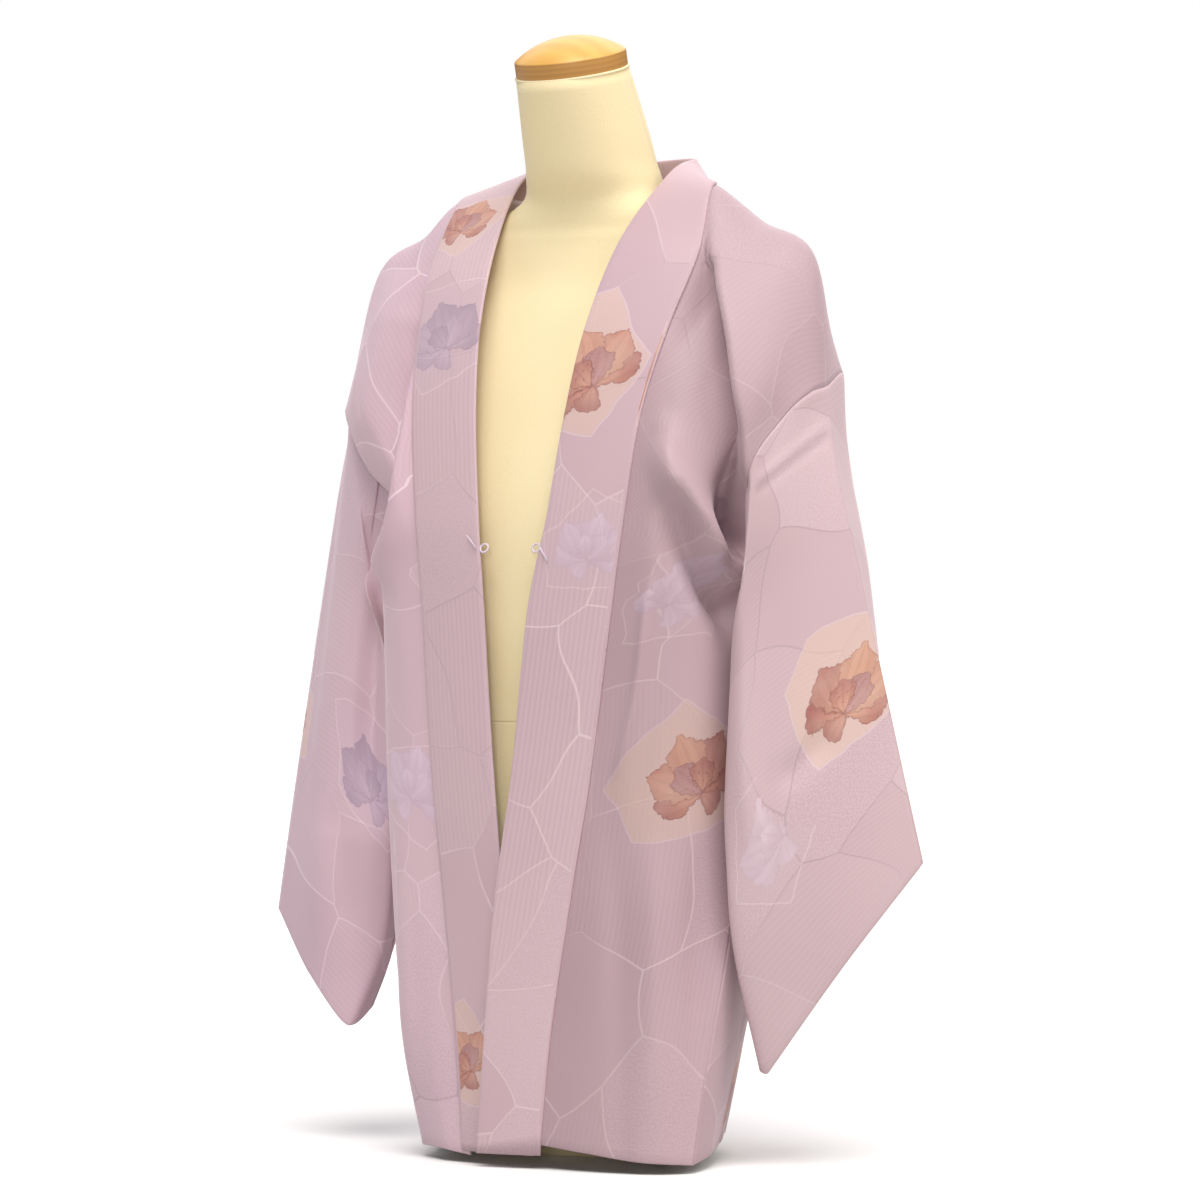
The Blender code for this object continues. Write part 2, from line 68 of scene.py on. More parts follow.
NECK_LEAN = math.radians(15.0)
LEAN_FROM = 0.746
WAIST_SEAM = 0.338
NECK_SEAMS_FROM = 0.752
NECK_SEAM_LEAN = 0.42
NECK_SEAM_AT = 0.334


def curve(points, places):
    """Points of a smooth curve through `points`, at places counted in points."""
    points = np.asarray(points, float)
    padded = np.concatenate([2 * points[:1] - points[1:2], points, 2 * points[-1:] - points[-2:-1]])
    places = np.asarray(places, float)
    start = np.clip(places.astype(int), 0, len(points) - 2)
    t = (places - start).reshape((-1,) + (1,) * (points.ndim - 1))
    a, b, c, d = (padded[start + k] for k in range(4))
    bend = 2 * a - 5 * b + 4 * c - d
    return 0.5 * (2 * b + (c - a) * t + bend * t**2 + (3 * (b - c) + d - a) * t**3)


def steps(count, per_step):
    return np.linspace(0, count, count * per_step + 1)


def grid_faces(rows, columns, first=0, ring=False):
    """The quads between a grid's points; a ring is closed round and at both its ends."""
    faces = []
    for row in range(rows - 1):
        for column in range(columns if ring else columns - 1):
            a = first + row * columns + column
            b = first + row * columns + (column + 1) % columns
            faces.append((a, b, b + columns, a + columns))
    if ring:
        faces.append(tuple(range(columns))[::-1])
        faces.append(tuple(range((rows - 1) * columns, rows * columns)))
    return faces


def mesh_object(name, points, faces):
    mesh = bpy.data.meshes.new(name)
    mesh.from_pydata(np.asarray(points).tolist(), [], faces)
    mesh.shade_smooth()
    obj = bpy.data.objects.new(name, mesh)
    bpy.context.scene.collection.objects.link(obj)
    return obj


def finished(obj, material, slot, *nodes):
    """Gives a piece its material, hangs it under the root and hides the solids that it stands for; its slot
    is not used.
    """
    obj.data.shade_smooth()
    obj.data.materials.append(material)
    belongs(obj, slot, *nodes)


def belongs(piece, slot, *nodes):
    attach(piece, "root")
    if nodes:
        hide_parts(*nodes)


class Signal:
    """A value that runs through the nodes of one material."""

    def __init__(self, tree, socket):
        self.tree = tree
        self.socket = socket

    def node(self, kind, *others, output=0, **settings):
        """What a new node makes of this value and the others."""
        node = self.tree.nodes.new("ShaderNode" + kind)
        for key, value in settings.items():
            setattr(node, key, value)
        feed(self.tree, node.inputs, (self, *others))
        return Signal(self.tree, node.outputs[output])

    def math(self, kind, *others):
        return self.node("Math", *others, operation=kind)

    def __add__(self, other):
        return self.math("ADD", other)

    def __sub__(self, other):
        return self.math("SUBTRACT", other)

    def __mul__(self, other):
        return self.math("MULTIPLY", other)

    def __truediv__(self, other):
        return self.math("DIVIDE", other)

    def wave(self):
        """Stripes from 0 to 1, one for each turn of this value in radians."""
        return self.math("SINE") * 0.5 + 0.5

    def within(self, low, high):
        """0 at low and 1 at high, with a soft step between."""
        return self.node("MapRange", low, high, interpolation_type="SMOOTHSTEP")

    def dot(self, vector):
        return self.node("VectorMath", vector, output="Value", operation="DOT_PRODUCT")

    def vector(self, kind, other):
        return self.node("VectorMath", other, operation=kind)

    def noise(self, scale, detail=2.0, output="Fac", roughness=0.5):
        noise = self.node("TexNoise", output=output)
        set_inputs(noise.socket.node, Scale=scale, Detail=detail, Roughness=roughness)
        return noise

    def axes(self):
        node = self.node("SeparateXYZ").socket.node
        return [Signal(self.tree, output) for output in node.outputs]

    def called(self, name):
        self.socket.node.name = name
        return self


def set_inputs(node, **values):
    for name, value in values.items():
        node.inputs[name.replace("_", " ")].default_value = value


def feed(tree, sockets, values):
    for socket, value in zip(sockets, values):
        if isinstance(value, Signal):
            tree.links.new(value.socket, socket)
        elif socket.type == "RGBA":
            socket.default_value = (*value, 1.0)
        else:
            socket.default_value = value


def blended(factor, first, second):
    """A colour between two, by a factor signal."""
    node = factor.tree.nodes.new("ShaderNodeMix")
    node.data_type = "RGBA"
    mixed = [socket for socket in node.inputs if socket.type == "RGBA"]
    feed(factor.tree, (node.inputs[0], *mixed), (factor, first, second))
    return Signal(factor.tree, next(socket for socket in node.outputs if socket.type == "RGBA"))


def new_material(name, kind="Object"):
    material = bpy.data.materials.new(name)
    material.use_nodes = True
    tree = material.node_tree
    where = tree.nodes.new("ShaderNodeTexCoord")
    return material, Signal(tree, where.outputs[kind]), tree.nodes["Principled BSDF"]


def finish_shader(shader, colour, height, bump, **constants):
    tree = colour.tree
    tree.links.new(colour.socket, shader.inputs["Base Color"])
    node = tree.nodes.new("ShaderNodeBump")
    set_inputs(node, Strength=bump[0], Distance=bump[1])
    tree.links.new(height.socket, node.inputs["Height"])
    tree.links.new(node.outputs["Normal"], shader.inputs["Normal"])
    set_inputs(shader, **constants)


def form_ring(row):
    """The form's outline at one height, tipped more and more towards the neck's lean."""
    height, centre_y, half_width, front, back, squareness = row
    lean = max(0.0, height - LEAN_FROM) / (FORM_ROWS[-1][0] - LEAN_FROM)
    angle = 2 * math.pi * np.arange(FORM_SEGMENTS) / FORM_SEGMENTS
    c, s = np.cos(angle), np.sin(angle)
    x = half_width * np.sign(c) * np.abs(c) ** (2 / squareness)
    reach = np.where(s > 0, back, front)
    y = centre_y + reach * np.sign(s) * np.abs(s) ** (2 / squareness)
    z = height + (y - centre_y) * math.tan(NECK_LEAN) * lean
    return np.stack([x, y, z], axis=-1)


def jersey():
    material, place, shader = new_material("cream_jersey")
    _, y, z = place.axes()
    cloud = place.noise(9.0, 3.0)
    knit = place.noise(900.0, 1.0)
    colour = blended(cloud.within(0.3, 0.75), (0.87, 0.73, 0.42), (0.90, 0.775, 0.475))
    colour = blended(knit.within(0.2, 0.8), colour, (0.91, 0.79, 0.50))
    waist = (z - WAIST_SEAM).math("ABSOLUTE").within(0.0011, 0.0003)
    side = (y + z * NECK_SEAM_LEAN - NECK_SEAM_AT).math("ABSOLUTE").within(0.0010, 0.0003)
    side = side * z.within(NECK_SEAMS_FROM, NECK_SEAMS_FROM + 0.008)
    seams = waist.math("MAXIMUM", side)
    colour = blended(seams * 0.35, colour, (0.60, 0.47, 0.26))
    height = knit * 0.25 - seams
    finish_shader(shader, colour, height, (0.35, 0.0006), Roughness=0.82, Sheen_Weight=0.15)
    return material


form_rows = curve(np.array(FORM_ROWS), steps(len(FORM_ROWS) - 1, ROWS_BETWEEN))
rings = np.array([form_ring(row) for row in form_rows])
faces = grid_faces(len(rings), FORM_SEGMENTS, ring=True)
torso = mesh_object("torso_cover", rings.reshape(-1, 3), faces)
finished(torso, jersey(), "form_cloth", "form_torso")

# ---- Neck cap and its piping ----
# The cap is a turned disc of honey-coloured wood with a low dome and an eased rim,
# glued on the neck. A thin bias cord closes the cover under it.

CAP_RADIUS = 0.0442
CAP_BAND = 0.013
CAP_DOME = 0.0153
CAP_SEAT = 0.0003
RIM_EASE = 0.0012
CAP_SEGMENTS = 96
DOME_RINGS = 9
PIPING = 0.0011
PIPING_STAND = 0.0002


def added(name, add, **sizes):
    """What one of Blender's own shapes adds, with nothing else selected."""
    bpy.ops.object.select_all(action="DESELECT")
    add(**sizes)
    obj = bpy.context.active_object
    obj.name = name
    return obj


def on_neck(obj):
    """Tilts a piece made round Z to the neck's lean and stands it on the neck's top."""
    top = FORM_ROWS[-1]
    turn = Matrix.Rotation(NECK_LEAN, 4, "X")
    obj.data.transform(Matrix.Translation((0.0, top[1], top[0])) @ turn)


def wood():
    material, place, shader = new_material("honey_wood")
    x, y, _ = place.axes()
    above = place.dot((0.0, -math.sin(NECK_LEAN), math.cos(NECK_LEAN)))
    rim_at = FORM_ROWS[-1][0] * math.cos(NECK_LEAN) - FORM_ROWS[-1][1] * math.sin(NECK_LEAN)
    band = (above - (rim_at + CAP_BAND)).within(0.0005, -0.0005)
    wander = place.noise(16.0, 2.0)
    year_rings = (((y + x * 0.12) + wander * 0.02) * 340.0).wave()
    layers = ((above + wander * 0.002) * 1500.0).wave()
    fibre = place.vector("MULTIPLY", (40.0, 900.0, 900.0)).noise(1.0, 3.0)
    colour = blended(year_rings * 0.55, (0.80, 0.45, 0.10), (0.66, 0.33, 0.06))
    colour = blended(fibre.within(0.35, 0.8) * 0.35, colour, (0.84, 0.52, 0.15))
    side = blended(layers * 0.6, (0.53, 0.27, 0.065), (0.43, 0.20, 0.045))
    colour = blended(band, colour, side)
    finish_shader(
        shader, colour, fibre, (0.05, 0.0003), Roughness=0.42, Coat_Weight=0.12, Coat_Roughness=0.25
    )
    return material


def domed(cap):
    """Raises the disc's top face ring by ring to a low spherical dome, and eases its rim."""
    work = bmesh.new()
    work.from_mesh(cap.data)
    top_face = max(work.faces, key=lambda face: face.calc_center_median().z)
    sphere = (CAP_RADIUS ** 2 + CAP_DOME ** 2) / (2 * CAP_DOME)
    widest = math.asin(CAP_RADIUS / sphere)
    height = 0.0
    for k in range(1, DOME_RINGS + 1):
        angle = widest * (1 - k / (DOME_RINGS + 1))
        next_height = CAP_DOME - sphere * (1 - math.cos(angle))
        bmesh.ops.inset_individual(work, faces=[top_face], thickness=1e-5)
        for vert in top_face.verts:
            flat = Vector((vert.co.x, vert.co.y, 0)).normalized() * (sphere * math.sin(angle))
            vert.co = (flat.x, flat.y, vert.co.z + next_height - height)
        height = next_height
    bmesh.ops.poke(work, faces=[top_face], offset=CAP_DOME - height)
    rim = [
        edge for edge in work.edges
        if all(abs(math.hypot(v.co.x, v.co.y) - CAP_RADIUS) < 1e-4 for v in edge.verts)
        and abs(edge.verts[0].co.z - edge.verts[1].co.z) < 1e-5
    ]
    bmesh.ops.bevel(work, geom=rim, offset=RIM_EASE, segments=3, affect="EDGES", profile=0.5)
    work.to_mesh(cap.data)
    work.free()


cap = added(
    "wood_cap", bpy.ops.mesh.primitive_cylinder_add, vertices=CAP_SEGMENTS, radius=CAP_RADIUS,
    depth=CAP_BAND, location=(0, 0, CAP_BAND / 2 + CAP_SEAT),
)
bpy.ops.object.transform_apply(location=True, rotation=True, scale=True)
domed(cap)
on_neck(cap)
finished(cap, wood(), "wood", "form_cap")


def bias_cord():
    material, place, shader = new_material("piping_cord")
    x, y, z = place.axes()
    twill = ((x + y + z) * 2600.0).wave()
    colour = blended(twill, (0.90, 0.81, 0.54), (0.84, 0.73, 0.45))
    finish_shader(shader, colour, twill, (0.3, 0.0003), Roughness=0.75)
    return material


piping = added(
    "neck_piping", bpy.ops.mesh.primitive_torus_add, major_segments=CAP_SEGMENTS, minor_segments=10,
    major_radius=CAP_RADIUS + PIPING_STAND, minor_radius=PIPING,
)
on_neck(piping)
finished(piping, bias_cord(), "form_cloth")

# ---- Jacket body ----
# Each half is one length of silk that runs from the front hem over the shoulder to
# the back hem, uncut. The halves are sewn together down the centre back, and the hem
# is turned up and slip-stitched.

# All of the jacket is one figured silk: a dull satin in lavender pink with a woven net
# of pale bowed lines, striped and speckled between them, and dyed flowers. The pattern
# runs on each piece's own flat cloth, in metres.
NET_SCALE = 10.6
PETAL_SHAPE = ((0.0, 0.10), (0.22, 0.50), (0.45, 0.86), (0.62, 1.0), (0.78, 0.80), (0.90, 0.36), (1.0, 0.0))


def petal(place, ruffle, under, lean, length, width, colours, outline):
    """One pointed petal over what is `under` it; its coordinates are in flower radii."""
    along = place.dot((math.sin(lean), math.cos(lean), 0.0)) / length
    across = place.dot((math.cos(lean), -math.sin(lean), 0.0))
    shape = place.tree.nodes.new("ShaderNodeFloatCurve")
    points = shape.mapping.curves[0].points
    points[0].location, points[1].location = PETAL_SHAPE[0], PETAL_SHAPE[-1]
    for spot in PETAL_SHAPE[1:-1]:
        points.new(*spot)
    shape.mapping.update()
    place.tree.links.new(along.socket, shape.inputs["Value"])
    half = Signal(place.tree, shape.outputs[0]) * width
    inside = half - across.math("ABSOLUTE") + ruffle
    mask = inside.within(0.0, 0.02) * along.within(-0.04, 0.02) * along.within(1.02, 0.96)
    share = across / (half + 0.02)
    vein = ((share * 3.0).math("SINE") * (share * 7.0).math("SINE")).within(0.30, 0.0)
    base, tip, line = colours
    colour = blended(along.within(0.15, 0.95), base, tip)
    colour = blended(vein * 0.20, colour, line)
    colour = blended(inside.within(0.050, 0.012) * outline, colour, line)
    return blended(mask, under, colour)


# Petals, from the lowest to the top one: lean, length and width in flower sizes
FAN = (
    (-1.42, 0.86, 0.29), (1.36, 0.82, 0.32), (-0.86, 1.02, 0.33), (0.80, 1.04, 0.34),
    (-0.04, 1.06, 0.34), (-0.46, 0.66, 0.28), (0.38, 0.58, 0.27), (2.7, 0.44, 0.24),
)
# Five bowed sides of each patch: direction, reach, bow
PATCHES = (
    ((0.15, 1.45, 0.12), (1.30, 1.40, -0.10), (2.40, 0.75, 0.12), (3.70, 0.55, 0.10), (5.00, 0.95, -0.12)),
    ((-0.35, 1.35, 0.10), (0.85, 1.10, -0.12), (2.00, 0.95, 0.10), (3.30, 0.60, 0.12), (4.60, 1.30, -0.08)),
    ((0.40, 0.95, 0.12), (1.60, 1.25, 0.10), (2.90, 0.60, -0.10), (4.20, 0.85, 0.12), (5.40, 1.40, -0.10)),
)
# A flower's whole patch, from the flower's root: its middle and how far it reaches
FLOWER_MIDDLE = 0.3
FLOWER_REACH = 1.9

# Dyes of each kind of flower (base, tip and outline of each petal), the tint of its
# ground, how strong that tint is and how strong the outlines are
KINDS = {
    "warm": (
        (
            ((0.60, 0.32, 0.235), (0.42, 0.155, 0.13), (0.26, 0.08, 0.065)),
            ((0.54, 0.255, 0.195), (0.35, 0.11, 0.095), (0.24, 0.07, 0.06)),
            ((0.64, 0.38, 0.275), (0.57, 0.27, 0.195), (0.30, 0.11, 0.08)),
            ((0.56, 0.30, 0.23), (0.43, 0.18, 0.155), (0.27, 0.09, 0.07)),
            ((0.62, 0.34, 0.24), (0.61, 0.32, 0.225), (0.32, 0.12, 0.08)),
            ((0.51, 0.29, 0.28), (0.44, 0.23, 0.225), (0.28, 0.10, 0.09)),
        ),
        (0.70, 0.515, 0.445), 0.62, 0.9,
    ),
    "ghost": (
        (
            ((0.58, 0.44, 0.52), (0.68, 0.54, 0.63), (0.49, 0.35, 0.43)),
            ((0.62, 0.48, 0.56), (0.65, 0.51, 0.60), (0.50, 0.36, 0.44)),
        ),
        (0.60, 0.45, 0.50), 0.25, 0.45,
    ),
    "grey": (
        (
            ((0.50, 0.385, 0.46), (0.41, 0.31, 0.385), (0.33, 0.235, 0.305)),
            ((0.56, 0.43, 0.52), (0.48, 0.365, 0.45), (0.36, 0.26, 0.33)),
        ),
        (0.61, 0.46, 0.52), 0.35, 0.6,
    ),
}


def flower(uv, under, kind):
    """A fan of ordinary pointed petals, kept inside its own bowed patch of tinted ground.

    `silks` sets the named nodes to the flower's own place, turn and patch.
    """
    dyes, ground, cover, outline = KINDS[kind]
    moved = uv.vector("SUBTRACT", (0.0, 0.0, 0.0)).called("spot")
    place = moved.dot((1, 0, 0)).called("right").node("CombineXYZ", moved.dot((0, 1, 0)).called("up"))
    far = place.dot(place)
    out = None
    for k, _ in enumerate(PATCHES[0]):
        way = place.dot((1, 0, 0)).called(f"side_{k}")
        bow = ((far - way * way) * 1.0).called(f"bow_{k}")
        side = (way + bow).math("SUBTRACT", 1.0).called(f"reach_{k}")
        out = side if out is None else out.math("MAXIMUM", side)
    out = out + (place.noise(1.3, 1.0) * 0.24 - 0.12)
    tinted = blended(out.within(0.0, -0.03) * cover, under, ground)
    ragged = place.noise(4.6, 3.5, roughness=0.6) * 0.36 - 0.18
    colour = tinted
    for k, (lean, length, width) in enumerate(FAN):
        colour = petal(place, ragged, colour, lean, length, width, dyes[k % len(dyes)], outline)
    heart = place.vector("SUBTRACT", (0.0, 0.32, 0.0))
    specks = place.noise(17.0, 2.0).within(0.58, 0.66) * heart.dot(heart).within(0.12, 0.02)
    colour = blended(specks * (outline * 0.75), colour, dyes[1][2])
    stained = place.noise(1.6, 2.0).within(0.35, 0.7)
    colour = blended(stained * (cover * 0.45), colour, ground)
    colour = blended(out.within(-0.012, -0.03), tinted, colour)
    rim = out.math("ABSOLUTE").within(0.020, 0.008)
    return blended(rim * 0.40, colour, (0.80, 0.66, 0.68))


def cells(place, feature, **more):
    """The net's cells, as one kind of Voronoi pattern."""
    net = place.node("TexVoronoi", output="Distance", voronoi_dimensions="2D", feature=feature)
    set_inputs(net.socket.node, Scale=NET_SCALE, Randomness=0.86, **more)
    return net


def silk(name, kind):
    """The figured silk, with one flower of a kind on it or none; `silks` sets its named nodes."""
    material, uv, shader = new_material(name, "UV")
    net_place = uv.node("Mapping").called("shift")
    sway = net_place.noise(7.0, 1.0, output="Color")
    sway = sway.vector("SUBTRACT", (0.5, 0.5, 0.5)).vector("MULTIPLY", (0.075, 0.075, 0.0))
    bowed = net_place.vector("ADD", sway)
    near, edge = cells(bowed, "F1"), cells(bowed, "DISTANCE_TO_EDGE")
    blurred = cells(bowed, "SMOOTH_F1", Smoothness=0.16)
    pick, depth, _ = Signal(uv.tree, near.socket.node.outputs["Color"]).axes()
    webs = (near - blurred).within(0.0330, 0.0390)
    lines = edge.within(0.0110, 0.0050).math("MAXIMUM", webs)
    across = uv.dot((1.0, 0.0, 0.0)).called("warp")
    warp = (across * 1450.0 + net_place.noise(16.0) * 3.0).wave()
    striped = pick.within(0.55, 0.52) * warp
    grain = uv.noise(620.0, 2.0)
    speckled = pick.within(0.74, 0.77) * grain.within(0.42, 0.58)
    broad = net_place.noise(3.2, 2.0)
    colour = blended(broad.within(0.3, 0.7), (0.540, 0.385, 0.440), (0.595, 0.440, 0.480))
    colour = blended(depth.within(0.0, 1.0) * 0.36, colour, (0.65, 0.495, 0.535))
    colour = blended((striped * 0.2).called("stripes"), colour, (0.72, 0.57, 0.60))
    colour = blended(speckled * 0.42, colour, (0.71, 0.56, 0.62))
    faint = broad.within(0.62, 0.38) * 0.32 + 0.26
    dull = net_place.noise(2.3, 1.0).within(0.50, 0.60)
    line_colour = blended(dull, (0.84, 0.70, 0.74), (0.40, 0.295, 0.335))
    colour = blended(lines * faint, colour, line_colour)
    if kind:
        colour = flower(uv, colour, kind)
    colour = blended(grain.within(0.25, 0.75) * 0.10, colour, (0.50, 0.36, 0.45))
    # The tone multiplies the piece's whole colour: painted light and shade, set lighter or darker for each
    # piece by how the light falls on it.
    colour = colour.vector("MULTIPLY", (1.0, 1.0, 1.0)).called("painted_light_tone")
    height = grain * 0.5 + lines * 0.8 + striped * 0.4
    finish_shader(
        shader, colour, height, (0.25, 0.0005), Roughness=0.52, Sheen_Weight=0.35,
        Sheen_Roughness=0.45, Specular_IOR_Level=0.45, Sheen_Tint=(1.0, 0.86, 0.93, 1.0),
    )
    return material


silk_kinds = {kind: silk(f"silk_{kind or 'plain'}", kind) for kind in (None, "warm", "ghost", "grey")}


def silks(name, shift, flowers, painted_light_tone, stripes=0.16, warp=(1.0, 0.0, 0.0)):
    """A piece's plain silk and one silk for each flower, with the places these take; each carries the
    piece's tone, a painted light and shade multiplier.
    """
    made, regions = [], []
    for number, one in enumerate([None, *flowers]):
        material = silk_kinds[one and one[0]].copy()
        material.name = f"{name}_{number}" if number else name
        made.append(material)
        nodes = material.node_tree.nodes
        nodes["shift"].inputs["Location"].default_value = (*shift, 0.0)
        values = {"painted_light_tone": painted_light_tone, "stripes": stripes, "warp": warp}
        if one:
            _, u, v, size, turn, patch = one
            c, s = math.cos(turn), math.sin(turn)
            values.update(spot=(u, v, 0.0), right=(c / size, s / size, 0.0), up=(-s / size, c / size, 0.0))
            for k, (angle, reach, bow) in enumerate(PATCHES[patch]):
                side = (math.sin(angle), math.cos(angle), 0.0)
                values.update({f"side_{k}": side, f"bow_{k}": bow, f"reach_{k}": reach})
            middle = np.array((u, v)) + FLOWER_MIDDLE * size * np.array((-s, c))
            regions.append((middle, FLOWER_REACH * size))
        for node, value in values.items():
            nodes[node].inputs[1].default_value = value
    return made, regions


def plain_silk(name, colour, other):
    material, uv, shader = new_material(name, "UV")
    grain = uv.noise(700.0, 2.0)
    shade = blended(grain.within(0.3, 0.7), colour, other)
    finish_shader(shader, shade, grain, (0.2, 0.0004), Roughness=0.6, Sheen_Weight=0.2)
    return material


wrong_side = plain_silk("silk_wrong_side", (0.68, 0.56, 0.61), (0.72, 0.60, 0.65))

# The jacket's guide tables are in millimetres, MM of them to the metre.
MM = 1000
# Rows from the hem to the shoulder, each from the collar to the side
FRONT_LEFT = (
    ((38, -150, 19), (80, -152, 15), (123, -147, 10), (157, -120, 7)),
    ((45, -146, 104), (87, -146, 104), (130, -137, 104), (163, -100, 104)),
    ((59, -141, 204), (100, -138, 204), (140, -120, 204), (166, -72, 204)),
    ((74, -135, 304), (112, -130, 304), (147, -108, 304), (166, -56, 304)),
    ((88, -129, 424), (122, -127, 424), (152, -105, 429), (168, -55, 434)),
    ((96, -124, 494), (128, -124, 494), (156, -108, 489), (172, -66, 484)),
    ((102, -108, 574), (137, -110, 562), (168, -103, 549), (187, -82, 535)),
    ((113, -86, 639), (148, -88, 624), (186, -82, 599), (203, -60, 572)),
    ((120, -50, 699), (152, -50, 684), (190, -44, 659), (212, -36, 590)),
)
FRONT_RIGHT = (
    ((32, -140, 7), (55, -138, 10), (83, -116, 10), (100, -80, 10)),
    ((40, -138, 104), (70, -136, 104), (102, -122, 104), (122, -85, 104)),
    ((51, -137, 204), (85, -133, 204), (115, -115, 204), (137, -72, 204)),
    ((63, -135, 304), (95, -128, 304), (124, -108, 304), (147, -58, 304)),
    ((75, -129, 424), (108, -122, 424), (134, -98, 429), (153, -42, 434)),
    ((83, -125.5, 494), (115, -119, 494), (138, -101, 492), (152, -60, 490)),
    ((96, -110, 574), (128, -110, 564), (155, -100, 551), (173, -74, 539)),
    ((105, -87, 639), (142, -88, 626), (175, -78, 601), (198, -52, 574)),
    ((115, -50, 699), (148, -50, 684), (180, -44, 659), (211, -32, 588)),
)
# Top of the shoulder, from the armhole to the centre back
RIDGE_LEFT = (
    (214, -12, 596), (196, 0, 697), (150, 0, 726), (108.8, 0, 756), (70, 58, 750), (0, 83, 741),
)
RIDGE_RIGHT = RIDGE_LEFT[:3] + ((112, 0, 754),) + RIDGE_LEFT[4:]
# Rows under it down to the shoulder blade, then from there down to the hem
BACK_UPPER = (
    ((206, 30, 608), (178, 45, 664), (142, 58, 692), (106, 68, 706), (60, 86, 704), (0, 97, 698)),
    ((196, 50, 584), (170, 80, 614), (134, 96, 632), (92, 106, 644), (48, 108, 649), (0, 108, 649)),
)
# Columns: side_x, side_y, side_z, centre_y, centre_z, squareness
BACK_LEFT = (
    (184, 62, 544, 114, 564, 3.0),
    (174, 46, 484, 114, 494, 2.8),
    (166, 0, 434, 114, 424, 2.6),
    (166, -18, 304, 112, 304, 2.2),
    (162, -24, 204, 106, 204, 1.8),
    (150, -30, 104, 96, 104, 1.35),
    (134, -38, 14, 88, 18, 1.2),
)
BACK_RIGHT = (
    (178, 60, 544, 114, 564, 3.0),
    (164, 46, 492, 114, 494, 2.8),
    (152, 2, 434, 114, 424, 2.6),
    (150, -12, 304, 112, 304, 2.3),
    (146, -18, 204, 106, 204, 2.0),
    (134, -22, 104, 96, 104, 1.7),
    (118, -26, 12, 88, 18, 1.5),
)
BACK_COLUMNS = (0.0, 0.16, 0.38, 0.58, 0.79, 1.0)
ALONG = 12
ACROSS = 20
ARMPIT = 4 * ALONG

# Folds: path, width on its two sides and height in millimetres (below 0 is a trough),
# the share of the height at its start and its end, and how far it leans over sideways
BODY_FOLDS_LEFT = (
    (((132, -58, 690), (142, -68, 664), (156, -78, 626), (167, -90, 587), (174, -94, 553),
      (178, -92, 519), (179, -84, 491), (178, -76, 468)), 27, 6, -28, 0.3, 1.0, 0.5),
    (((138, -60, 690), (147, -70, 664), (162, -82, 626), (174, -95, 587), (180, -98, 553),
      (184, -95, 521), (184, -86, 496)), 6, 26, 10, 0.3, 0.9, 0.5),
    (((179, -92, 535), (180, -84, 499), (179, -77, 473)), 13, 7, -12, 0.1, 1.0, 0.3),
    (((128, -112, 560), (140, -118, 527), (153, -115, 501), (164, -104, 477), (173, -88, 459),
      (180, -76, 452)), 15, 11, 24, 0.1, 1.0, 0.0),
    (((138, -118, 520), (145, -116, 495), (150, -106, 464), (158, -92, 440), (168, -74, 422)),
     14, 10, -19, 0.1, 1.0, 0.0),
    (((121.6, -131, 440), (112.6, -133, 360), (96.3, -133.5, 300)), 4, 7, 5, 0.3, 0.1, 0.0),
    (((127, -127, 250), (134, -131.5, 130), (141.6, -132, 10)), 14, 14, 3.2, 0.0, 1.0, 0.0),
    (((150, -105, 250), (155, -106, 130), (160, -108, 10)), 12, 12, -3.6, 0.0, 1.0, 0.0),
    (((93, -135, 290), (105.5, -142, 130), (110, -147, 10)), 12, 12, -2.2, 0.0, 1.0, 0.0),
    (((42, 78, 14), (40, 104, 250), (42, 116, 480)), 16, 18, 9, 1.0, 0.0, 0.0),
    (((74, 56, 14), (72, 90, 200), (70, 106, 420)), 13, 14, -8, 1.0, 0.0, 0.0),
    (((98, 30, 14), (108, 70, 250), (105, 100, 490)), 18, 18, 8, 0.4, 0.1, 0.0),
)
BODY_FOLDS_RIGHT = (
    (((102, -92, 645), (104, -104, 600), (100, -118, 545), (106, -126, 492), (124, -116, 461)),
     14, 6, 10, 0.2, 1.0, -0.5),
    (((112, -86, 660), (116, -100, 600), (115, -114, 545), (124, -118, 500), (142, -98, 470)),
     7, 46, -42, 0.2, 1.0, -0.4),
    (((148, -72, 650), (160, -82, 600), (170, -86, 560)), 14, 14, 3, 0.2, 0.3, 0.0),
    (((100, -124, 300), (94, -128, 160), (88, -122, 10)), 12, 14, 3, 0.0, 1.0, 0.0),
    (((112, -112, 280), (108, -114, 150), (98, -100, 10)), 10, 12, -3.5, 0.0, 1.0, 0.0),
    (((48, 94, 14), (50, 114, 230), (46, 118, 430)), 15, 16, 9, 1.0, 0.0, 0.0),
    (((86, 66, 14), (84, 92, 220), (80, 112, 460)), 14, 14, -9, 1.0, 0.0, 0.0),
    (((100, 48, 14), (102, 80, 220), (104, 100, 430)), 17, 17, 9, 1.0, 0.0, 0.0),
)
FOLD_STEPS = 17
FOLD_FADE = 0.3
FOLD_REACH = 0.03

# Turned edges: how far on along the cloth, and how far under it
HEM_TURN = ((0.0007, 0.0003), (0.0011, 0.0012), (0.0007, 0.0021), (-0.0100, 0.0024))
SEAM_TURN = ((0.0001, 0.0004), (0.0003, 0.0012), (0.0003, 0.0034))
COLLAR_TURN = ((0.0020, -0.0002), (0.0040, 0.0000))
CENTRE_GAP = 0.0003
CLOTH = 0.0008
COLLAR_CALM = 0.35
OFF_FORM = 1.035
SHOULDER_AT = 0.66


def unit(vectors):
    return vectors / np.maximum(np.linalg.norm(vectors, axis=-1, keepdims=True), 1e-9)


def normals(grid):
    across = np.gradient(grid, axis=1)
    along = np.gradient(grid, axis=0)
    return unit(np.cross(across, along))


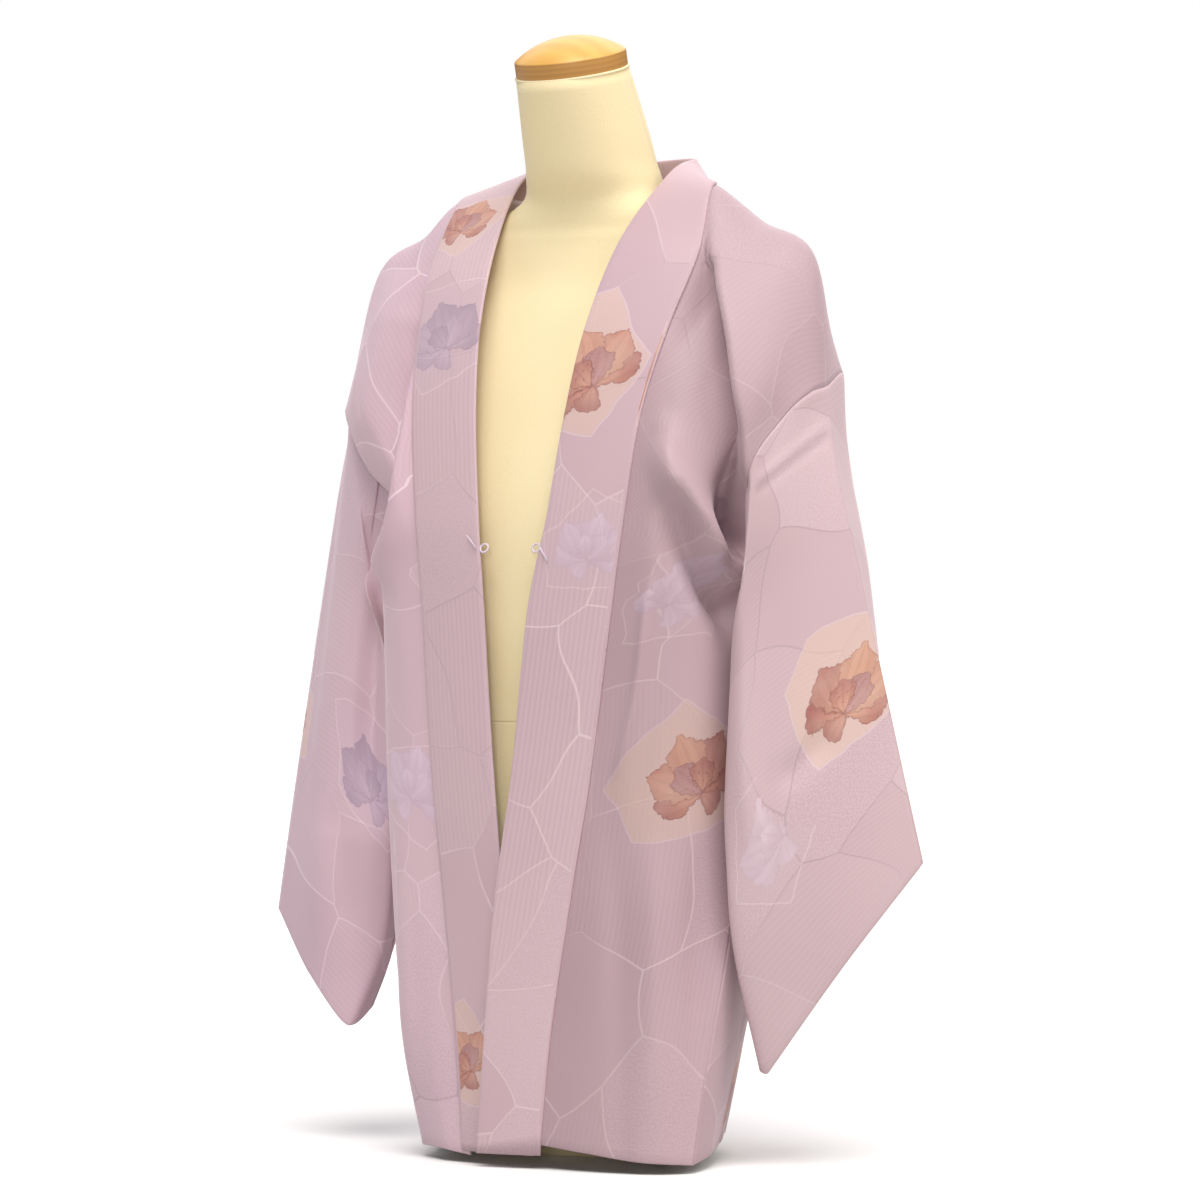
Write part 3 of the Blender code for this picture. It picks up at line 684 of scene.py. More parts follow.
def folded(grid, folds, hold=1.0, outward=1.0):
    """The grid moved along its normals where a fold runs, by the share in `hold`."""
    facing = normals(grid) * outward
    moved = grid.copy()
    for path, width_one, width_two, height, start, end, lean in folds:
        line = curve(np.array(path) / MM, np.linspace(0, len(path) - 1, FOLD_STEPS))
        nearest = np.full(grid.shape[:2], 1e9)
        place = np.zeros(grid.shape[:2])
        side = np.zeros(grid.shape[:2])
        sideways = np.zeros(grid.shape)
        for k, run in enumerate(np.diff(line, axis=0)):
            share = np.clip(((grid - line[k]) @ run) / (run @ run), 0, 1)
            offset = grid - line[k] - share[..., None] * run
            above = (offset * facing).sum(axis=-1, keepdims=True)
            gap = np.linalg.norm(offset - facing * above, axis=-1)
            gap += np.clip(np.abs(above[..., 0]) - FOLD_REACH, 0, 1)
            aside = unit(np.cross(run, facing))
            closer = gap < nearest
            nearest = np.where(closer, gap, nearest)
            place = np.where(closer, (k + share) / (len(line) - 1), place)
            side = np.where(closer, (aside * offset).sum(axis=-1), side)
            sideways = np.where(closer[..., None], aside, sideways)
        width = np.where(side > 0, width_one, width_two) / MM
        rise = np.clip(start + (1 - start) * place / FOLD_FADE, 0, 1)
        fall = np.clip(end + (1 - end) * (1 - place) / FOLD_FADE, 0, 1)
        lift = height / MM * np.sin(rise * math.pi / 2) * np.sin(fall * math.pi / 2)
        lift = hold * lift * np.exp(-((nearest / width) ** 2))
        moved += (facing + lean * sideways) * lift[..., None]
    return moved


def off_form(grid):
    """The grid with every point that would lie in the dress form pushed out of it."""
    rows = np.array(FORM_ROWS)
    columns = [np.interp(grid[..., 2], rows[:, 0], rows[:, k]) for k in range(1, 6)]
    centre_y, half_width, front, back, squareness = columns
    y = grid[..., 1] - centre_y
    reach = np.where(y > 0, back, front)
    size = (np.abs(grid[..., 0]) / half_width) ** squareness + (np.abs(y) / reach) ** squareness
    size = np.maximum(size ** (1 / squareness), 1e-6)
    push = np.where(grid[..., 2] < SHOULDER_AT, np.clip(OFF_FORM / size, 1, None), 1)
    pushed = grid.copy()
    pushed[..., 0] *= push
    pushed[..., 1] = centre_y + y * push
    return pushed


def turn_edge(grid, axis, last, turn, outward=1.0):
    """The grid with its cloth carried on past one edge: out along itself and under."""
    first, second = (-1, -2) if last else (0, 1)
    edge, up = (np.take(points, first, axis) for points in (grid, normals(grid) * outward))
    out = unit(edge - np.take(grid, second, axis))
    lines = [edge + out * far - up * under for far, under in turn]
    added_rows = np.stack(lines if last else lines[::-1], axis=axis)
    return np.concatenate([grid, added_rows] if last else [added_rows, grid], axis=axis)


def back_row(side_x, side_y, side_z, centre_y, centre_z, squareness):
    row = []
    for share in BACK_COLUMNS:
        angle = share * math.pi / 2
        out = math.cos(angle) ** (2 / max(squareness, 2.0))
        back = math.sin(angle) ** (2 / squareness)
        z = side_z + (centre_z - side_z) * share
        row.append((side_x * out, side_y + (centre_y - side_y) * back, z))
    return row


def seam_hold(shape, ridge_at):
    """How much of each fold's height is left: none on the front's edge at the collar."""
    ramp = np.clip(np.arange(shape[1]) / (COLLAR_CALM * ACROSS), 0, 1)
    ramp = ramp * ramp * (3 - 2 * ramp)
    hold = np.ones(shape)
    hold[ridge_at:] *= ramp[::-1]
    return hold


def curve_across(grid, places):
    return curve(grid.transpose(1, 0, 2), places).transpose(1, 0, 2)


class Half:
    """One half of the jacket, worked out as if it were the left one.

    `main` runs from the back hem over the shoulder to the front hem, `inner` is the back's share
    between it and the centre back, and `ridge_at` is the row on top of the shoulder.
    """

    def __init__(self, front, ridge, back, folds):
        wide = np.array([back_row(*row) for row in back[::-1]] + [*BACK_UPPER[::-1], ridge]) / MM
        narrow = np.array(front)[::-1, ::-1] / MM
        self.ridge_at = (len(wide) - 1) * ALONG
        rows = np.concatenate([curve_across(part, steps(3, ACROSS)) for part in (wide, narrow)])
        sheet = curve(rows, steps(len(rows) - 1, ALONG))
        inner = curve(curve_across(wide, 3 + steps(2, ACROSS)[1:]), steps(len(wide) - 1, ALONG))
        self.main = off_form(folded(sheet, folds, seam_hold(sheet.shape[:2], self.ridge_at)))
        whole = np.concatenate([sheet[: self.ridge_at + 1], inner], axis=1)
        whole = off_form(folded(whole, folds))
        # The last columns of `main` are the whole back's, so that the two join without a step.
        width = sheet.shape[1]
        shared = ACROSS // 2
        self.inner = whole[:, width:]
        self.main[: self.ridge_at, -shared:] = whole[: self.ridge_at, width - shared : width]


def distances(line):
    """How far along a line of points each of them lies."""
    return np.pad(np.cumsum(np.linalg.norm(np.diff(line, axis=0), axis=1)), (1, 0))


def flat_places(grid):
    """Each point's place on the flat cloth, in metres, from distances along the grid."""
    across = np.linalg.norm(np.diff(grid, axis=1), axis=-1)
    along = np.linalg.norm(np.diff(grid, axis=0), axis=-1).mean(axis=1)
    u = np.pad(np.cumsum(across, axis=1), ((0, 0), (1, 0)))
    v = np.pad(np.cumsum(along), (1, 0))
    return np.stack([u, np.repeat(v[:, None], grid.shape[1], axis=1)], axis=-1)


def lay_flat(obj, flat):
    """Keeps each corner's place on the flat cloth as the piece's UV map."""
    corners = np.empty(len(obj.data.loops), dtype=np.int32)
    obj.data.loops.foreach_get("vertex_index", corners)
    layer = obj.data.uv_layers.new(name="flat")
    layer.data.foreach_set("uv", flat.reshape(-1, 2)[corners].astype(np.float32).ravel())


def cloth_piece(name, points, faces, flat, mirrored):
    """A thin cloth and how many faces its outer side has; the wrong side's come next, then the rim's."""
    points = points.reshape(-1, 3)
    if mirrored:
        points = points * (-1, 1, 1)
        faces = [face[::-1] for face in faces]
    obj = mesh_object(name, points, faces)
    lay_flat(obj, flat)
    bpy.ops.object.select_all(action="DESELECT")
    obj.select_set(True)
    bpy.context.view_layer.objects.active = obj
    modifier = obj.modifiers.new("wall", "SOLIDIFY")
    modifier.thickness = CLOTH
    modifier.offset = -1.0
    bpy.ops.object.modifier_apply(modifier=modifier.name)
    return obj, len(faces)


def dress(obj, count, made, inside, node):
    """Gives the outer faces their silk, the wrong side its own, and flowers their region."""
    materials, regions = made
    for material in (*materials, inside):
        obj.data.materials.append(material)
    index = np.zeros(len(obj.data.polygons), dtype=np.int32)
    index[count : 2 * count] = len(materials)
    uv = np.empty(len(obj.data.loops) * 2, dtype=np.float32)
    obj.data.uv_layers["flat"].data.foreach_get("uv", uv)
    starts = np.array([p.loop_start for p in obj.data.polygons])
    corner = uv.reshape(-1, 2)[starts]
    for k, (spot, reach) in enumerate(regions):
        near = np.hypot(*(corner - spot).T) < reach
        index[near & (index == 0)] = k + 1
    obj.data.polygons.foreach_set("material_index", index)
    belongs(obj, "silk", node)


def body_piece(side, half, mirrored, shift, flowers, painted_light_tone):
    main, inner = half.main, half.inner.copy()
    # The halves meet at the centre back without touching.
    inner[:, -1, 0] = CENTRE_GAP
    back = np.concatenate([main[: half.ridge_at + 1], inner], axis=1)
    back = turn_edge(turn_edge(back, 1, True, SEAM_TURN), 1, False, SEAM_TURN)
    front = turn_edge(main[half.ridge_at :], 1, False, SEAM_TURN)
    front = turn_edge(front, 1, True, COLLAR_TURN)
    shared = main.shape[1] + len(SEAM_TURN)
    front[0, :shared] = back[-1, :shared]
    back = turn_edge(back, 0, False, HEM_TURN)
    front = turn_edge(front, 0, True, HEM_TURN)
    flat_back, flat_front = flat_places(back), flat_places(front)
    flat_front[..., 1] += flat_back[-1, 0, 1]
    points = np.concatenate([back.reshape(-1, 3), front.reshape(-1, 3)])
    flat = np.concatenate([flat_back.reshape(-1, 2), flat_front.reshape(-1, 2)])
    rows, columns = back.shape[:2]
    first = rows * columns
    faces = grid_faces(rows, columns) + grid_faces(*front.shape[:2], first)
    # The front's first row is the back's last one, so these points are kept only once.
    swap = {first + k: first - columns + k for k in range(shared)}
    faces = [tuple(swap.get(v, v) for v in face) for face in faces]
    used = sorted({v for face in faces for v in face})
    renumber = {v: k for k, v in enumerate(used)}
    faces = [tuple(renumber[v] for v in face) for face in faces]
    obj, count = cloth_piece(f"silk_body_{side}", points[used], faces, flat[used], mirrored)
    dress(obj, count, silks(f"silk_{side}_body", shift, flowers, painted_light_tone), wrong_side, f"body_{side}")


# Flowers: kind, place on the flat cloth (u, v), size, turn and which patch it lies in.
FLOWERS_LEFT = (
    ("warm", 0.046, 1.256, 0.048, 3.60, 1), ("ghost", 0.094, 1.110, 0.044, 2.94, 2),
    ("ghost", 0.215, 0.940, 0.038, 3.64, 0), ("warm", 0.020, 0.040, 0.036, 0.30, 0),
    ("warm", 0.150, 0.270, 0.046, -0.40, 2), ("grey", 0.120, 0.520, 0.042, 0.50, 1),
    ("ghost", 0.215, 0.700, 0.040, 2.60, 0),
)
FLOWERS_RIGHT = (
    ("warm", 0.048, 1.115, 0.046, 2.24, 0), ("ghost", 0.098, 1.260, 0.044, 3.44, 2),
    ("ghost", 0.150, 0.110, 0.044, 0.50, 1), ("warm", 0.110, 0.400, 0.046, 0.30, 1),
    ("warm", 0.190, 0.620, 0.042, -0.50, 2),
)
left_half = Half(FRONT_LEFT, RIDGE_LEFT, BACK_LEFT, BODY_FOLDS_LEFT)
right_half = Half(FRONT_RIGHT, RIDGE_RIGHT, BACK_RIGHT, BODY_FOLDS_RIGHT)
# Painted shade and light: the near (left) half's silk is toned darker and the far (right) half's lighter,
# for how the light falls on each.
body_piece("left", left_half, False, (0.31, 0.12), FLOWERS_LEFT, (0.78, 0.745, 0.75))
body_piece("right", right_half, True, (2.17, 0.77), FLOWERS_RIGHT, (1.05, 1.02, 1.05))

# ---- Side gussets ----
# A narrow wedge of the same silk is sewn between front and back on each side, from
# the hem up to the armpit.

GUSSET_COLUMNS = 15
GUSSET_FULLNESS = 0.05


def gusset_piece(side, half, mirrored, shift):
    front = half.main[::-1][: ARMPIT + 1, 0]
    back = half.main[: ARMPIT + 1, 0]
    share = np.linspace(0, 1, GUSSET_COLUMNS)[None, :, None]
    grid = front[:, None] * (1 - share) + back[:, None] * share
    width = np.linalg.norm(back - front, axis=1)[:, None]
    grid[..., 0] += GUSSET_FULLNESS * width * np.sin(math.pi * share[..., 0])
    grid = turn_edge(turn_edge(grid, 1, True, SEAM_TURN), 1, False, SEAM_TURN)
    grid = turn_edge(grid, 0, False, HEM_TURN)
    faces = grid_faces(*grid.shape[:2])
    obj, count = cloth_piece(f"silk_gusset_{side}", grid, faces, flat_places(grid), mirrored)
    # The gussets' silk is toned darker: painted shade.
    made = silks(f"silk_{side}_gusset", shift, (), (0.84, 0.80, 0.80))
    dress(obj, count, made, wrong_side, f"gusset_{side}")


gusset_piece("left", left_half, False, (0.9, 0.4))
gusset_piece("right", right_half, True, (0.5, 0.9))

# ---- Sleeves ----
# Each is a folded square of silk sewn to the armhole, open on the body side below
# the armpit and at the wrist, with a rounded tip. Its inner side is thin pale silk,
# and the fold is pressed.

# Share of the way to the cuff, and points round the tube in millimetres, from the
# slit's front edge over the top to its back edge
SLEEVE_LEFT = (
    (0.15, ((179, -58, 400), (186, -92, 472), (200, -74, 508), (226, -20, 537), (210, 34, 538),
            (194, 64, 486), (178, 6, 400))),
    (0.34, ((180, -50, 345), (174, -87, 394), (206, -64, 439), (241.5, -17, 467), (223, 42, 449),
            (196, 62, 404), (182, 6, 345))),
    (0.66, ((178, -46, 224), (171, -92, 269), (214, -68, 319), (266.5, -12, 354), (234, 42, 329),
            (196, 52, 289), (180, -8, 224))),
    (0.84, ((180, -40, 139), (174, -90, 179), (226, -63, 239), (280.5, -9, 290), (243, 32, 262),
            (198, 30, 215), (180, -36, 139))),
    (1.00, ((184, -50, 78), (191, -68, 72), (243, -46, 152), (293, -6, 233), (236, 10, 186),
            (196, -14, 122), (184, -44, 78))),
)
SLEEVE_RIGHT = (
    (0.15, ((164, -36, 400), (168, -64, 464), (190, -66, 505), (223.5, -20.5, 531), (208, 32, 532),
            (190, 58, 480), (166, 12, 400))),
    (0.34, ((162, -26, 345), (163, -50, 384), (194, -58, 425), (237, -22, 453), (220, 34, 439),
            (192, 54, 394), (170, 14, 345))),
    (0.66, ((162, -24, 224), (162, -48, 252), (202, -62, 292), (257.5, -26, 322), (230, 30, 306),
            (192, 44, 274), (168, 2, 224))),
    (0.84, ((168, -34, 149), (168, -50, 168), (210, -68, 210), (268, -28, 252), (236, 16, 236),
            (192, 22, 202), (168, -30, 149))),
    (1.00, ((180, -52, 98), (188, -70, 94), (228, -62, 134), (278, -30, 182), (240, 0, 156),
            (196, -20, 116), (180, -46, 98))),
)
SLEEVE_FOLDS_LEFT = (
    (((219, -26, 556), (208, -58, 536), (194, -84, 516)), 3.5, 3.5, -1.8, 0.8, 0.6, 0.0),
    (((219, -26, 563), (208, -58, 543), (194, -84, 523)), 4, 6, 1.6, 0.8, 0.6, 0.0),
    (((234.5, -47, 330), (221, -62, 310), (205, -75, 290)), 10, 10, -3.5, 0.1, 0.1, 0.0),
    (((186, -88, 440), (184, -92, 330), (190, -88, 230)), 10, 12, 4, 0.2, 0.1, 0.0),
)
SLEEVE_FOLDS_RIGHT = (
    (((160, -74, 560), (160, -74, 500), (162, -72, 430), (166, -68, 330), (172, -62, 240)),
     16, 40, -19, 1.0, 0.0, 0.0),
    (((212, -46, 540), (222, -52, 400), (232, -52, 270)), 16, 14, 3, 0.3, 0.1, 0.0),
    (((205, -66, 280), (196, -62, 225), (190, -58, 170)), 14, 12, -4, 0.1, 0.2, 0.0),
)
SLEEVE_ROWS = 90
SLEEVE_AROUND = 121
# The tip's arc: rows it may take, its steepest slope, its height, how far its seam's point reaches
TIP_ROWS = 30
TIP_SLOPE = 1.5
TIP_HEIGHT = 0.040
SEAM_REACH = 0.020
# The slit's ease: columns that take it up, and the share of the sleeve's length that it runs down
SLIT_COLUMNS = 26
SLIT_END = 0.7
# How much x and y count across the side view in which the arc is drawn
VIEW_X, VIEW_Y = 0.866, 0.5
lining = plain_silk("sleeve_lining", (0.80, 0.76, 0.74), (0.84, 0.80, 0.78))


def sleeve_grid(half, sections):
    """The sleeve from the armhole to the cuff, closed under the arm where its last section closes."""
    edge = half.main[ARMPIT:-ARMPIT][::-1, 0]
    count = len(edge)
    lines = [edge]
    for _, points in sections:
        front = curve(np.array(points[:4]) / MM, np.linspace(0, 3, count // 2 + 1))
        back = curve(np.array(points[3:]) / MM, np.linspace(0, 3, count - count // 2))
        lines.append(np.concatenate([front, back[1:]]))
    shares = [0.0] + [share for share, _ in sections]
    places = np.interp(np.linspace(0, 1, SLEEVE_ROWS + 1), shares, range(len(shares)))
    grid = curve(np.array(lines), places)
    pick = np.linspace(0, count - 1, SLEEVE_AROUND)
    low = np.floor(pick).astype(int)
    high = np.minimum(low + 1, count - 1)
    part = (pick - low)[None, :, None]
    grid = grid[:, low] * (1 - part) + grid[:, high] * part
    closed = places >= len(sections) - 1
    middle = (grid[:, 0] + grid[:, -1]) / 2
    for column in (0, -1):
        grid[:, column] = np.where(closed[:, None], middle, grid[:, column])
    return grid


def slid(line, run, places):
    """A line's points moved along it to other places."""
    return np.stack([np.interp(places, run, line[:, axis]) for axis in range(3)], axis=-1)


def rounded_tip(grid, side, middle, lowest, bend, seam_depth):
    """The grid with its cuff trimmed to an arc.

    Seen side on, the arc's lowest point is at (middle, lowest), and a larger `bend` makes it rounder.
    """
    trimmed = grid.copy()
    seam = distances(grid[-1])
    seam = np.clip(1 - np.minimum(seam, seam[-1] - seam) / SEAM_REACH, 0, 1) ** 2 * seam_depth
    for column in range(grid.shape[1]):
        line = grid[-TIP_ROWS:, column]
        off = side * VIEW_X * line[:, 0] + VIEW_Y * line[:, 1] - middle
        arc = np.minimum(TIP_SLOPE * (np.hypot(off, bend) - bend), TIP_HEIGHT)
        over = line[:, 2] - lowest - arc
        run = distances(line)
        inside = np.nonzero(over > 0)[0][-1]
        end = run[inside]
        if inside < TIP_ROWS - 1:
            share = over[inside] / (over[inside] - over[inside + 1])
            end += share * (run[inside + 1] - run[inside])
        end = min(end, run[-1] - seam[column])
        trimmed[-TIP_ROWS:, column] = slid(line, run, run * end / run[-1])
    return trimmed


def eased_slit(grid, ease):
    """The grid with the front edge of its slit drawn back by up to `ease`, below the armpit."""
    share = np.clip(np.linspace(0, 1, len(grid)) / SLIT_END, 0, 1)
    eased = grid.copy()
    for row, cut in enumerate(ease * np.sin(math.pi * share ** 0.6) ** 2):
        line = grid[row, :SLIT_COLUMNS]
        run = distances(line)
        eased[row, :SLIT_COLUMNS] = slid(line, run, cut + run * (run[-1] - cut) / run[-1])
    return eased


def sleeve_piece(side, half, mirrored, sections, folds, shift, flowers, painted_light_tone, ease, tip):
    grid = folded(sleeve_grid(half, sections), folds, outward=-1.0)
    grid = rounded_tip(eased_slit(grid, ease), *tip)
    turns = ((1, True, SEAM_TURN), (1, False, SEAM_TURN), (0, False, SEAM_TURN), (0, True, HEM_TURN))
    for axis, last, turn in turns:
        grid = turn_edge(grid, axis, last, turn, -1.0)
    faces = [face[::-1] for face in grid_faces(*grid.shape[:2])]
    obj, count = cloth_piece(f"silk_sleeve_{side}", grid, faces, flat_places(grid), mirrored)
    made = silks(f"silk_{side}_sleeve", shift, flowers, painted_light_tone, warp=(0.0, 1.0, 0.0))
    dress(obj, count, made, lining, f"sleeve_{side}")


SLEEVE_FLOWERS_LEFT = (
    ("warm", 0.190, 0.246, 0.048, 3.39, 0), ("ghost", 0.134, 0.306, 0.044, 2.54, 1),
    ("warm", 0.340, 0.150, 0.044, 2.84, 2), ("grey", 0.400, 0.320, 0.040, 3.54, 1),
)
SLEEVE_FLOWERS_RIGHT = (
    ("warm", 0.195, 0.270, 0.042, 3.44, 1), ("grey", 0.060, 0.268, 0.042, 3.54, 0),
    ("ghost", 0.320, 0.120, 0.044, 2.74, 2), ("warm", 0.370, 0.300, 0.044, 3.44, 0),
)
# The near (left) sleeve's silk is toned a little darker and the far (right) sleeve's a little lighter:
# painted shade and painted light.
sleeve_piece(
    "left", left_half, False, SLEEVE_LEFT, SLEEVE_FOLDS_LEFT, (1.3, 0.2), SLEEVE_FLOWERS_LEFT,
    (0.95, 0.945, 0.915), 0.011, (1.0, 0.1306, 0.0728, 0.0062, 0.008),
)
sleeve_piece(
    "right", right_half, True, SLEEVE_RIGHT, SLEEVE_FOLDS_RIGHT, (0.2, 1.6), SLEEVE_FLOWERS_RIGHT,
    (1.03, 1.01, 1.05), 0.0, (-1.0, -0.1924, 0.0938, 0.0105, 0.0),
)

# ---- Collar ----
# One long band of silk folded over a stiffening, sewn round the neckline and down
# both fronts to the hem, with soft folded edges on both sides.

# The band's free edge in millimetres, from the front hem to the centre back
COLLAR_LEFT = (
    (-10, -158, 10), (-5, -154, 104), (1, -149, 204), (13, -143, 304), (23, -137, 424), (36, -131, 494),
    (44, -117, 574), (51, -96, 644), (57, -52, 712), (68, 6, 766), (58, 58, 781), (0, 72, 781),
)
COLLAR_RIGHT = (
    (-31, -146, 9), (-20, -144, 104), (-4, -143, 204), (6, -143, 304), (18, -137, 424), (25, -133.5, 494),
    (37, -118, 574), (47, -95, 644), (58, -52, 712),
) + COLLAR_LEFT[-3:]
COLLAR_COLUMNS = 15
BAND_HALF = 0.0014
BAND_LIFT = 0.0010
BAND_LAP = 0.0016
BAND_CROWN = 0.0012
COLLAR_FLOWERS = (
    ("warm", 0.042, 0.590, 0.050, -0.55, 0), ("ghost", 0.022, 0.455, 0.036, 0.15, 1),
    ("warm", 0.016, 1.108, 0.032, 3.44, 2), ("grey", 0.030, 1.225, 0.044, 2.84, 1),
    ("warm", 0.012, 1.790, 0.034, 2.64, 0), ("ghost", 0.040, 0.930, 0.036, 1.20, 2),
)


def collar_lines(half, free):
    """The band's sewn edge on one half and its free edge, both from the front hem to the centre back."""
    front = half.main[half.ridge_at :][::-1]
    rows = len(free) - 3
    places = np.concatenate([steps(rows, ALONG), rows + steps(2, ACROSS)[1:]])
    return np.concatenate([front[:, -1], half.inner[-1]]), curve(np.array(free) / MM, places)


def rounded_side(edge, up, out, lap, angles):
    """The lines that take the band's cloth round from one face to the other, `lap` past an edge."""
    angles = np.radians(angles)[:, None]
    rise = up[:, None] * (BAND_LIFT + BAND_HALF * np.sin(angles))
    return edge[:, None] + rise + out[:, None] * (lap + BAND_HALF * np.cos(angles))


def collar_piece():
    halves = zip(collar_lines(left_half, COLLAR_LEFT), collar_lines(right_half, COLLAR_RIGHT))
    sewn, free = (np.concatenate([left, (right * (-1, 1, 1))[::-1][1:]]) for left, right in halves)
    middle = len(sewn) // 2
    sewn[middle, 0] = free[middle, 0] = 0.0
    sewn[0, 2], sewn[-1, 2] = free[0, 2], free[-1, 2]
    share = np.linspace(0, 1, COLLAR_COLUMNS)
    base = sewn[:, None] + (free - sewn)[:, None] * share[None, :, None]
    facing = -normals(base)
    crown = np.sin(math.pi * share) * BAND_CROWN
    upper = base + facing * (BAND_LIFT + BAND_HALF + crown[None, :])[..., None]
    lower = base + facing * (BAND_LIFT - BAND_HALF)
    out = unit(free - sewn)
    turned = rounded_side(free, facing[:, -1], out, 0.0, (50, 0, -50))
    lapped = rounded_side(sewn, facing[:, 0], -out, BAND_LAP, (-50, 0, 50))
    ring = np.concatenate([upper, turned, lower[:, ::-1], lapped], axis=1)
    obj = mesh_object("silk_collar", ring.reshape(-1, 3), grid_faces(*ring.shape[:2], ring=True))
    work = bmesh.new()
    work.from_mesh(obj.data)
    bmesh.ops.recalc_face_normals(work, faces=work.faces)
    work.to_mesh(obj.data)
    work.free()
    flat = flat_places(ring)
    flat[..., 1] = distances((sewn + free) / 2)[:, None]
    lay_flat(obj, flat)
    # The collar's silk is toned a little darker: painted shade.
    made = silks("silk_collar_band", (0.62, 0.35), COLLAR_FLOWERS, (0.96, 0.94, 0.94), 0.3)
    dress(obj, 0, made, wrong_side, "collar")


collar_piece()
# Every piece wears copies of the patterns, so the patterns themselves aren't kept.
for pattern in silk_kinds.values():
    bpy.data.materials.remove(pattern)

# ---- Fastening loops ----
# A small ring of twisted silk thread stands off each edge of the collar, held by a
# short bar of the same thread.

LOOP_ROW = 4 * ALONG + 8
RING_RADIUS = 0.0034
RING_WIRE = 0.0008
RING_GAP = 0.0004
RING_TILT = math.radians(70)
BAR_LENGTH = 0.013
BAR_WIRE = 0.0006
BAR_INSET = 0.0002
BAR_RISE = 0.0012


def thread():
    material, place, shader = new_material("loop_thread")
    x, _, z = place.axes()
    twist = ((x * 1.3 + z) * 5200.0).wave()
    colour = blended(twist, (0.62, 0.50, 0.64), (0.82, 0.72, 0.82))
    finish_shader(shader, colour, twist, (0.4, 0.0003), Roughness=0.5, Sheen_Weight=0.2)
    return material


thread_material = thread()


def loop_piece(side, half, free_edge, mirrored, bar_turn):
    sewn, free = collar_lines(half, free_edge)
    at = free[LOOP_ROW]
    out = unit(at - sewn[LOOP_ROW])
    down = unit(free[LOOP_ROW - 1] - at)
    facing = np.cross(down, out)
    facing = facing * math.copysign(1.0, -facing[1])
    flip = np.array((-1 if mirrored else 1, 1, 1))
    ring = added(
        f"thread_loop_{side}", bpy.ops.mesh.primitive_torus_add, major_segments=40, minor_segments=10,
        major_radius=RING_RADIUS, minor_radius=RING_WIRE,
    )
    centre = Matrix.Translation(Vector((at + out * (RING_RADIUS + RING_WIRE + RING_GAP)) * flip))
    ring.data.transform(centre @ Matrix.Rotation(RING_TILT, 4, "X"))
    finished(ring, thread_material, "cord", f"loop_{side}")
    bar = added(
        f"thread_bar_{side}", bpy.ops.mesh.primitive_cylinder_add, vertices=10, radius=BAR_WIRE,
        depth=BAR_LENGTH,
    )
    start = at - out * BAR_INSET + facing * (BAND_LIFT + BAND_HALF + BAR_WIRE)
    along = -out * math.cos(bar_turn) + down * math.sin(bar_turn)
    middle = Matrix.Translation(Vector((start + along * BAR_LENGTH / 2 + facing * BAR_RISE) * flip))
    bar.data.transform(middle @ Vector(along * flip).to_track_quat("Z", "Y").to_matrix().to_4x4())
    finished(bar, thread_material, "cord")


loop_piece("left", left_half, COLLAR_LEFT, False, math.radians(50))
loop_piece("right", right_half, COLLAR_RIGHT, True, math.radians(-50))

# ---- Studio ----
# A plain floor, wide soft lights, white surroundings and the camera. The floor and the
# surroundings look whiter to the camera than they light the cloth.

FLOOR_SIZE = 60.0
FLOOR_DROP = 0.0005
floor = added("floor", bpy.ops.mesh.primitive_plane_add, size=FLOOR_SIZE, location=(0, 0, -FLOOR_DROP))
pale, _, pale_shader = new_material("pale_floor")
set_inputs(pale_shader, Roughness=0.9)
seen_floor = pale.node_tree.nodes.new("ShaderNodeLightPath").outputs["Is Camera Ray"]
floor_colour = blended(Signal(pale.node_tree, seen_floor), (0.52, 0.51, 0.50), (0.92, 0.92, 0.92))
pale.node_tree.links.new(floor_colour.socket, pale_shader.inputs["Base Color"])
floor.data.materials.append(pale)

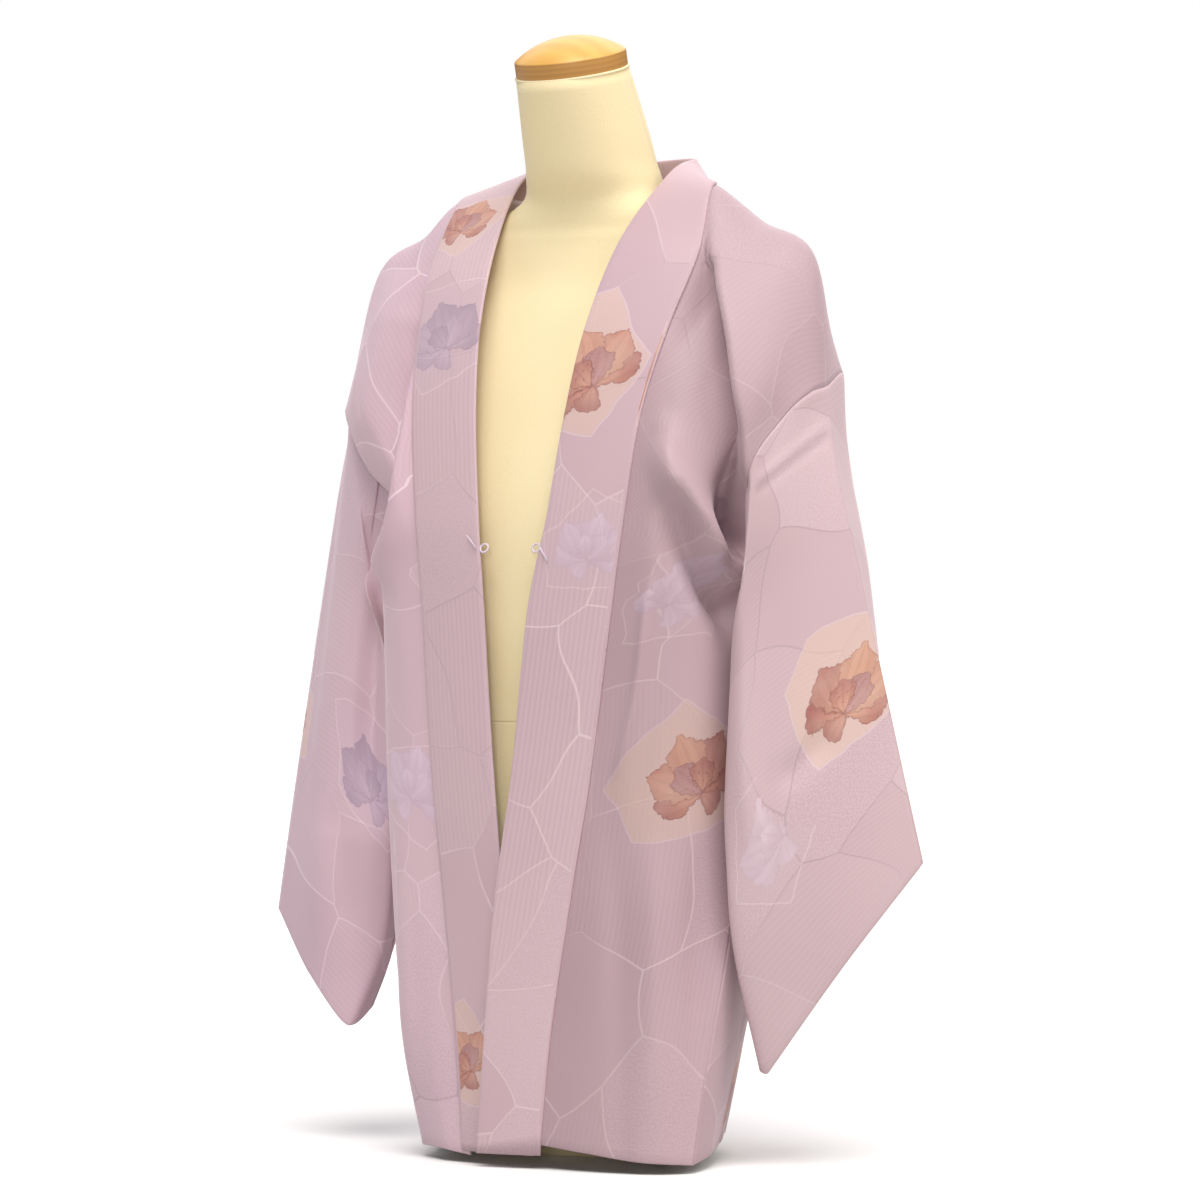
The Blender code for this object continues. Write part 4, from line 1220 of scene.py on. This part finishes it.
# Turn from the front and height in degrees, strength, softness in degrees, colour
for name, azimuth, elevation, strength, softness, colour in (
    ("top", 30.0, 65.0, 2.6, 40.0, (1.0, 0.97, 0.94)),
    ("right", 98.0, 34.0, 1.2, 44.0, (1.0, 0.94, 0.88)),
    ("left", -88.0, 30.0, 0.5, 50.0, (0.95, 0.93, 1.0)),
    ("front", 26.0, 8.0, 0.68, 12.0, (1.0, 0.97, 0.95)),
    ("back", 200.0, 45.0, 1.2, 60.0, (1.0, 1.0, 1.0)),
):
    light = bpy.data.lights.new(name, "SUN")
    light.energy = strength
    light.angle = math.radians(softness)
    light.color = colour
    lamp = bpy.data.objects.new(name, light)
    bpy.context.scene.collection.objects.link(lamp)
    turn, rise = math.radians(azimuth), math.radians(elevation)
    way = Vector((math.sin(turn) * math.cos(rise), -math.cos(turn) * math.cos(rise), math.sin(rise)))
    lamp.rotation_euler = way.to_track_quat("Z", "Y").to_euler()

world = bpy.data.worlds.new("studio")
bpy.context.scene.world = world
world.use_nodes = True
tree = world.node_tree
room = tree.nodes["Background"]
seen = tree.nodes.new("ShaderNodeBackground")
for background, strength in ((room, 0.18), (seen, 1.0)):
    set_inputs(background, Color=(1.0, 1.0, 1.0, 1.0), Strength=strength)
path = tree.nodes.new("ShaderNodeLightPath")
either = tree.nodes.new("ShaderNodeMixShader")
for output, socket in zip((path.outputs["Is Camera Ray"], room.outputs[0], seen.outputs[0]), either.inputs):
    tree.links.new(output, socket)
tree.links.new(either.outputs[0], tree.nodes["World Output"].inputs["Surface"])
bpy.context.scene.view_settings.view_transform = "Standard"

# The lens is as long as the frame needs: FOCAL is in pixels of a frame FRAME_SIZE wide.
FRAME_SIZE = 1200
FOCAL = 4937
MIDDLE_X = 593
SENSOR = 36.0
CAMERA_TURN = math.radians(30.0)
CAMERA_FAR = 3.9
CAMERA_HEIGHT = 0.432
camera_data = bpy.data.cameras.new("camera")
camera_data.sensor_width = SENSOR
camera_data.lens = SENSOR * FOCAL / FRAME_SIZE
camera_data.shift_x = (FRAME_SIZE / 2 - MIDDLE_X) / FRAME_SIZE
camera = bpy.data.objects.new("camera", camera_data)
bpy.context.scene.collection.objects.link(camera)
camera.location = (CAMERA_FAR * math.sin(CAMERA_TURN), -CAMERA_FAR * math.cos(CAMERA_TURN), CAMERA_HEIGHT)
camera.rotation_euler = (math.radians(90.0), 0.0, CAMERA_TURN)
bpy.context.scene.camera = camera
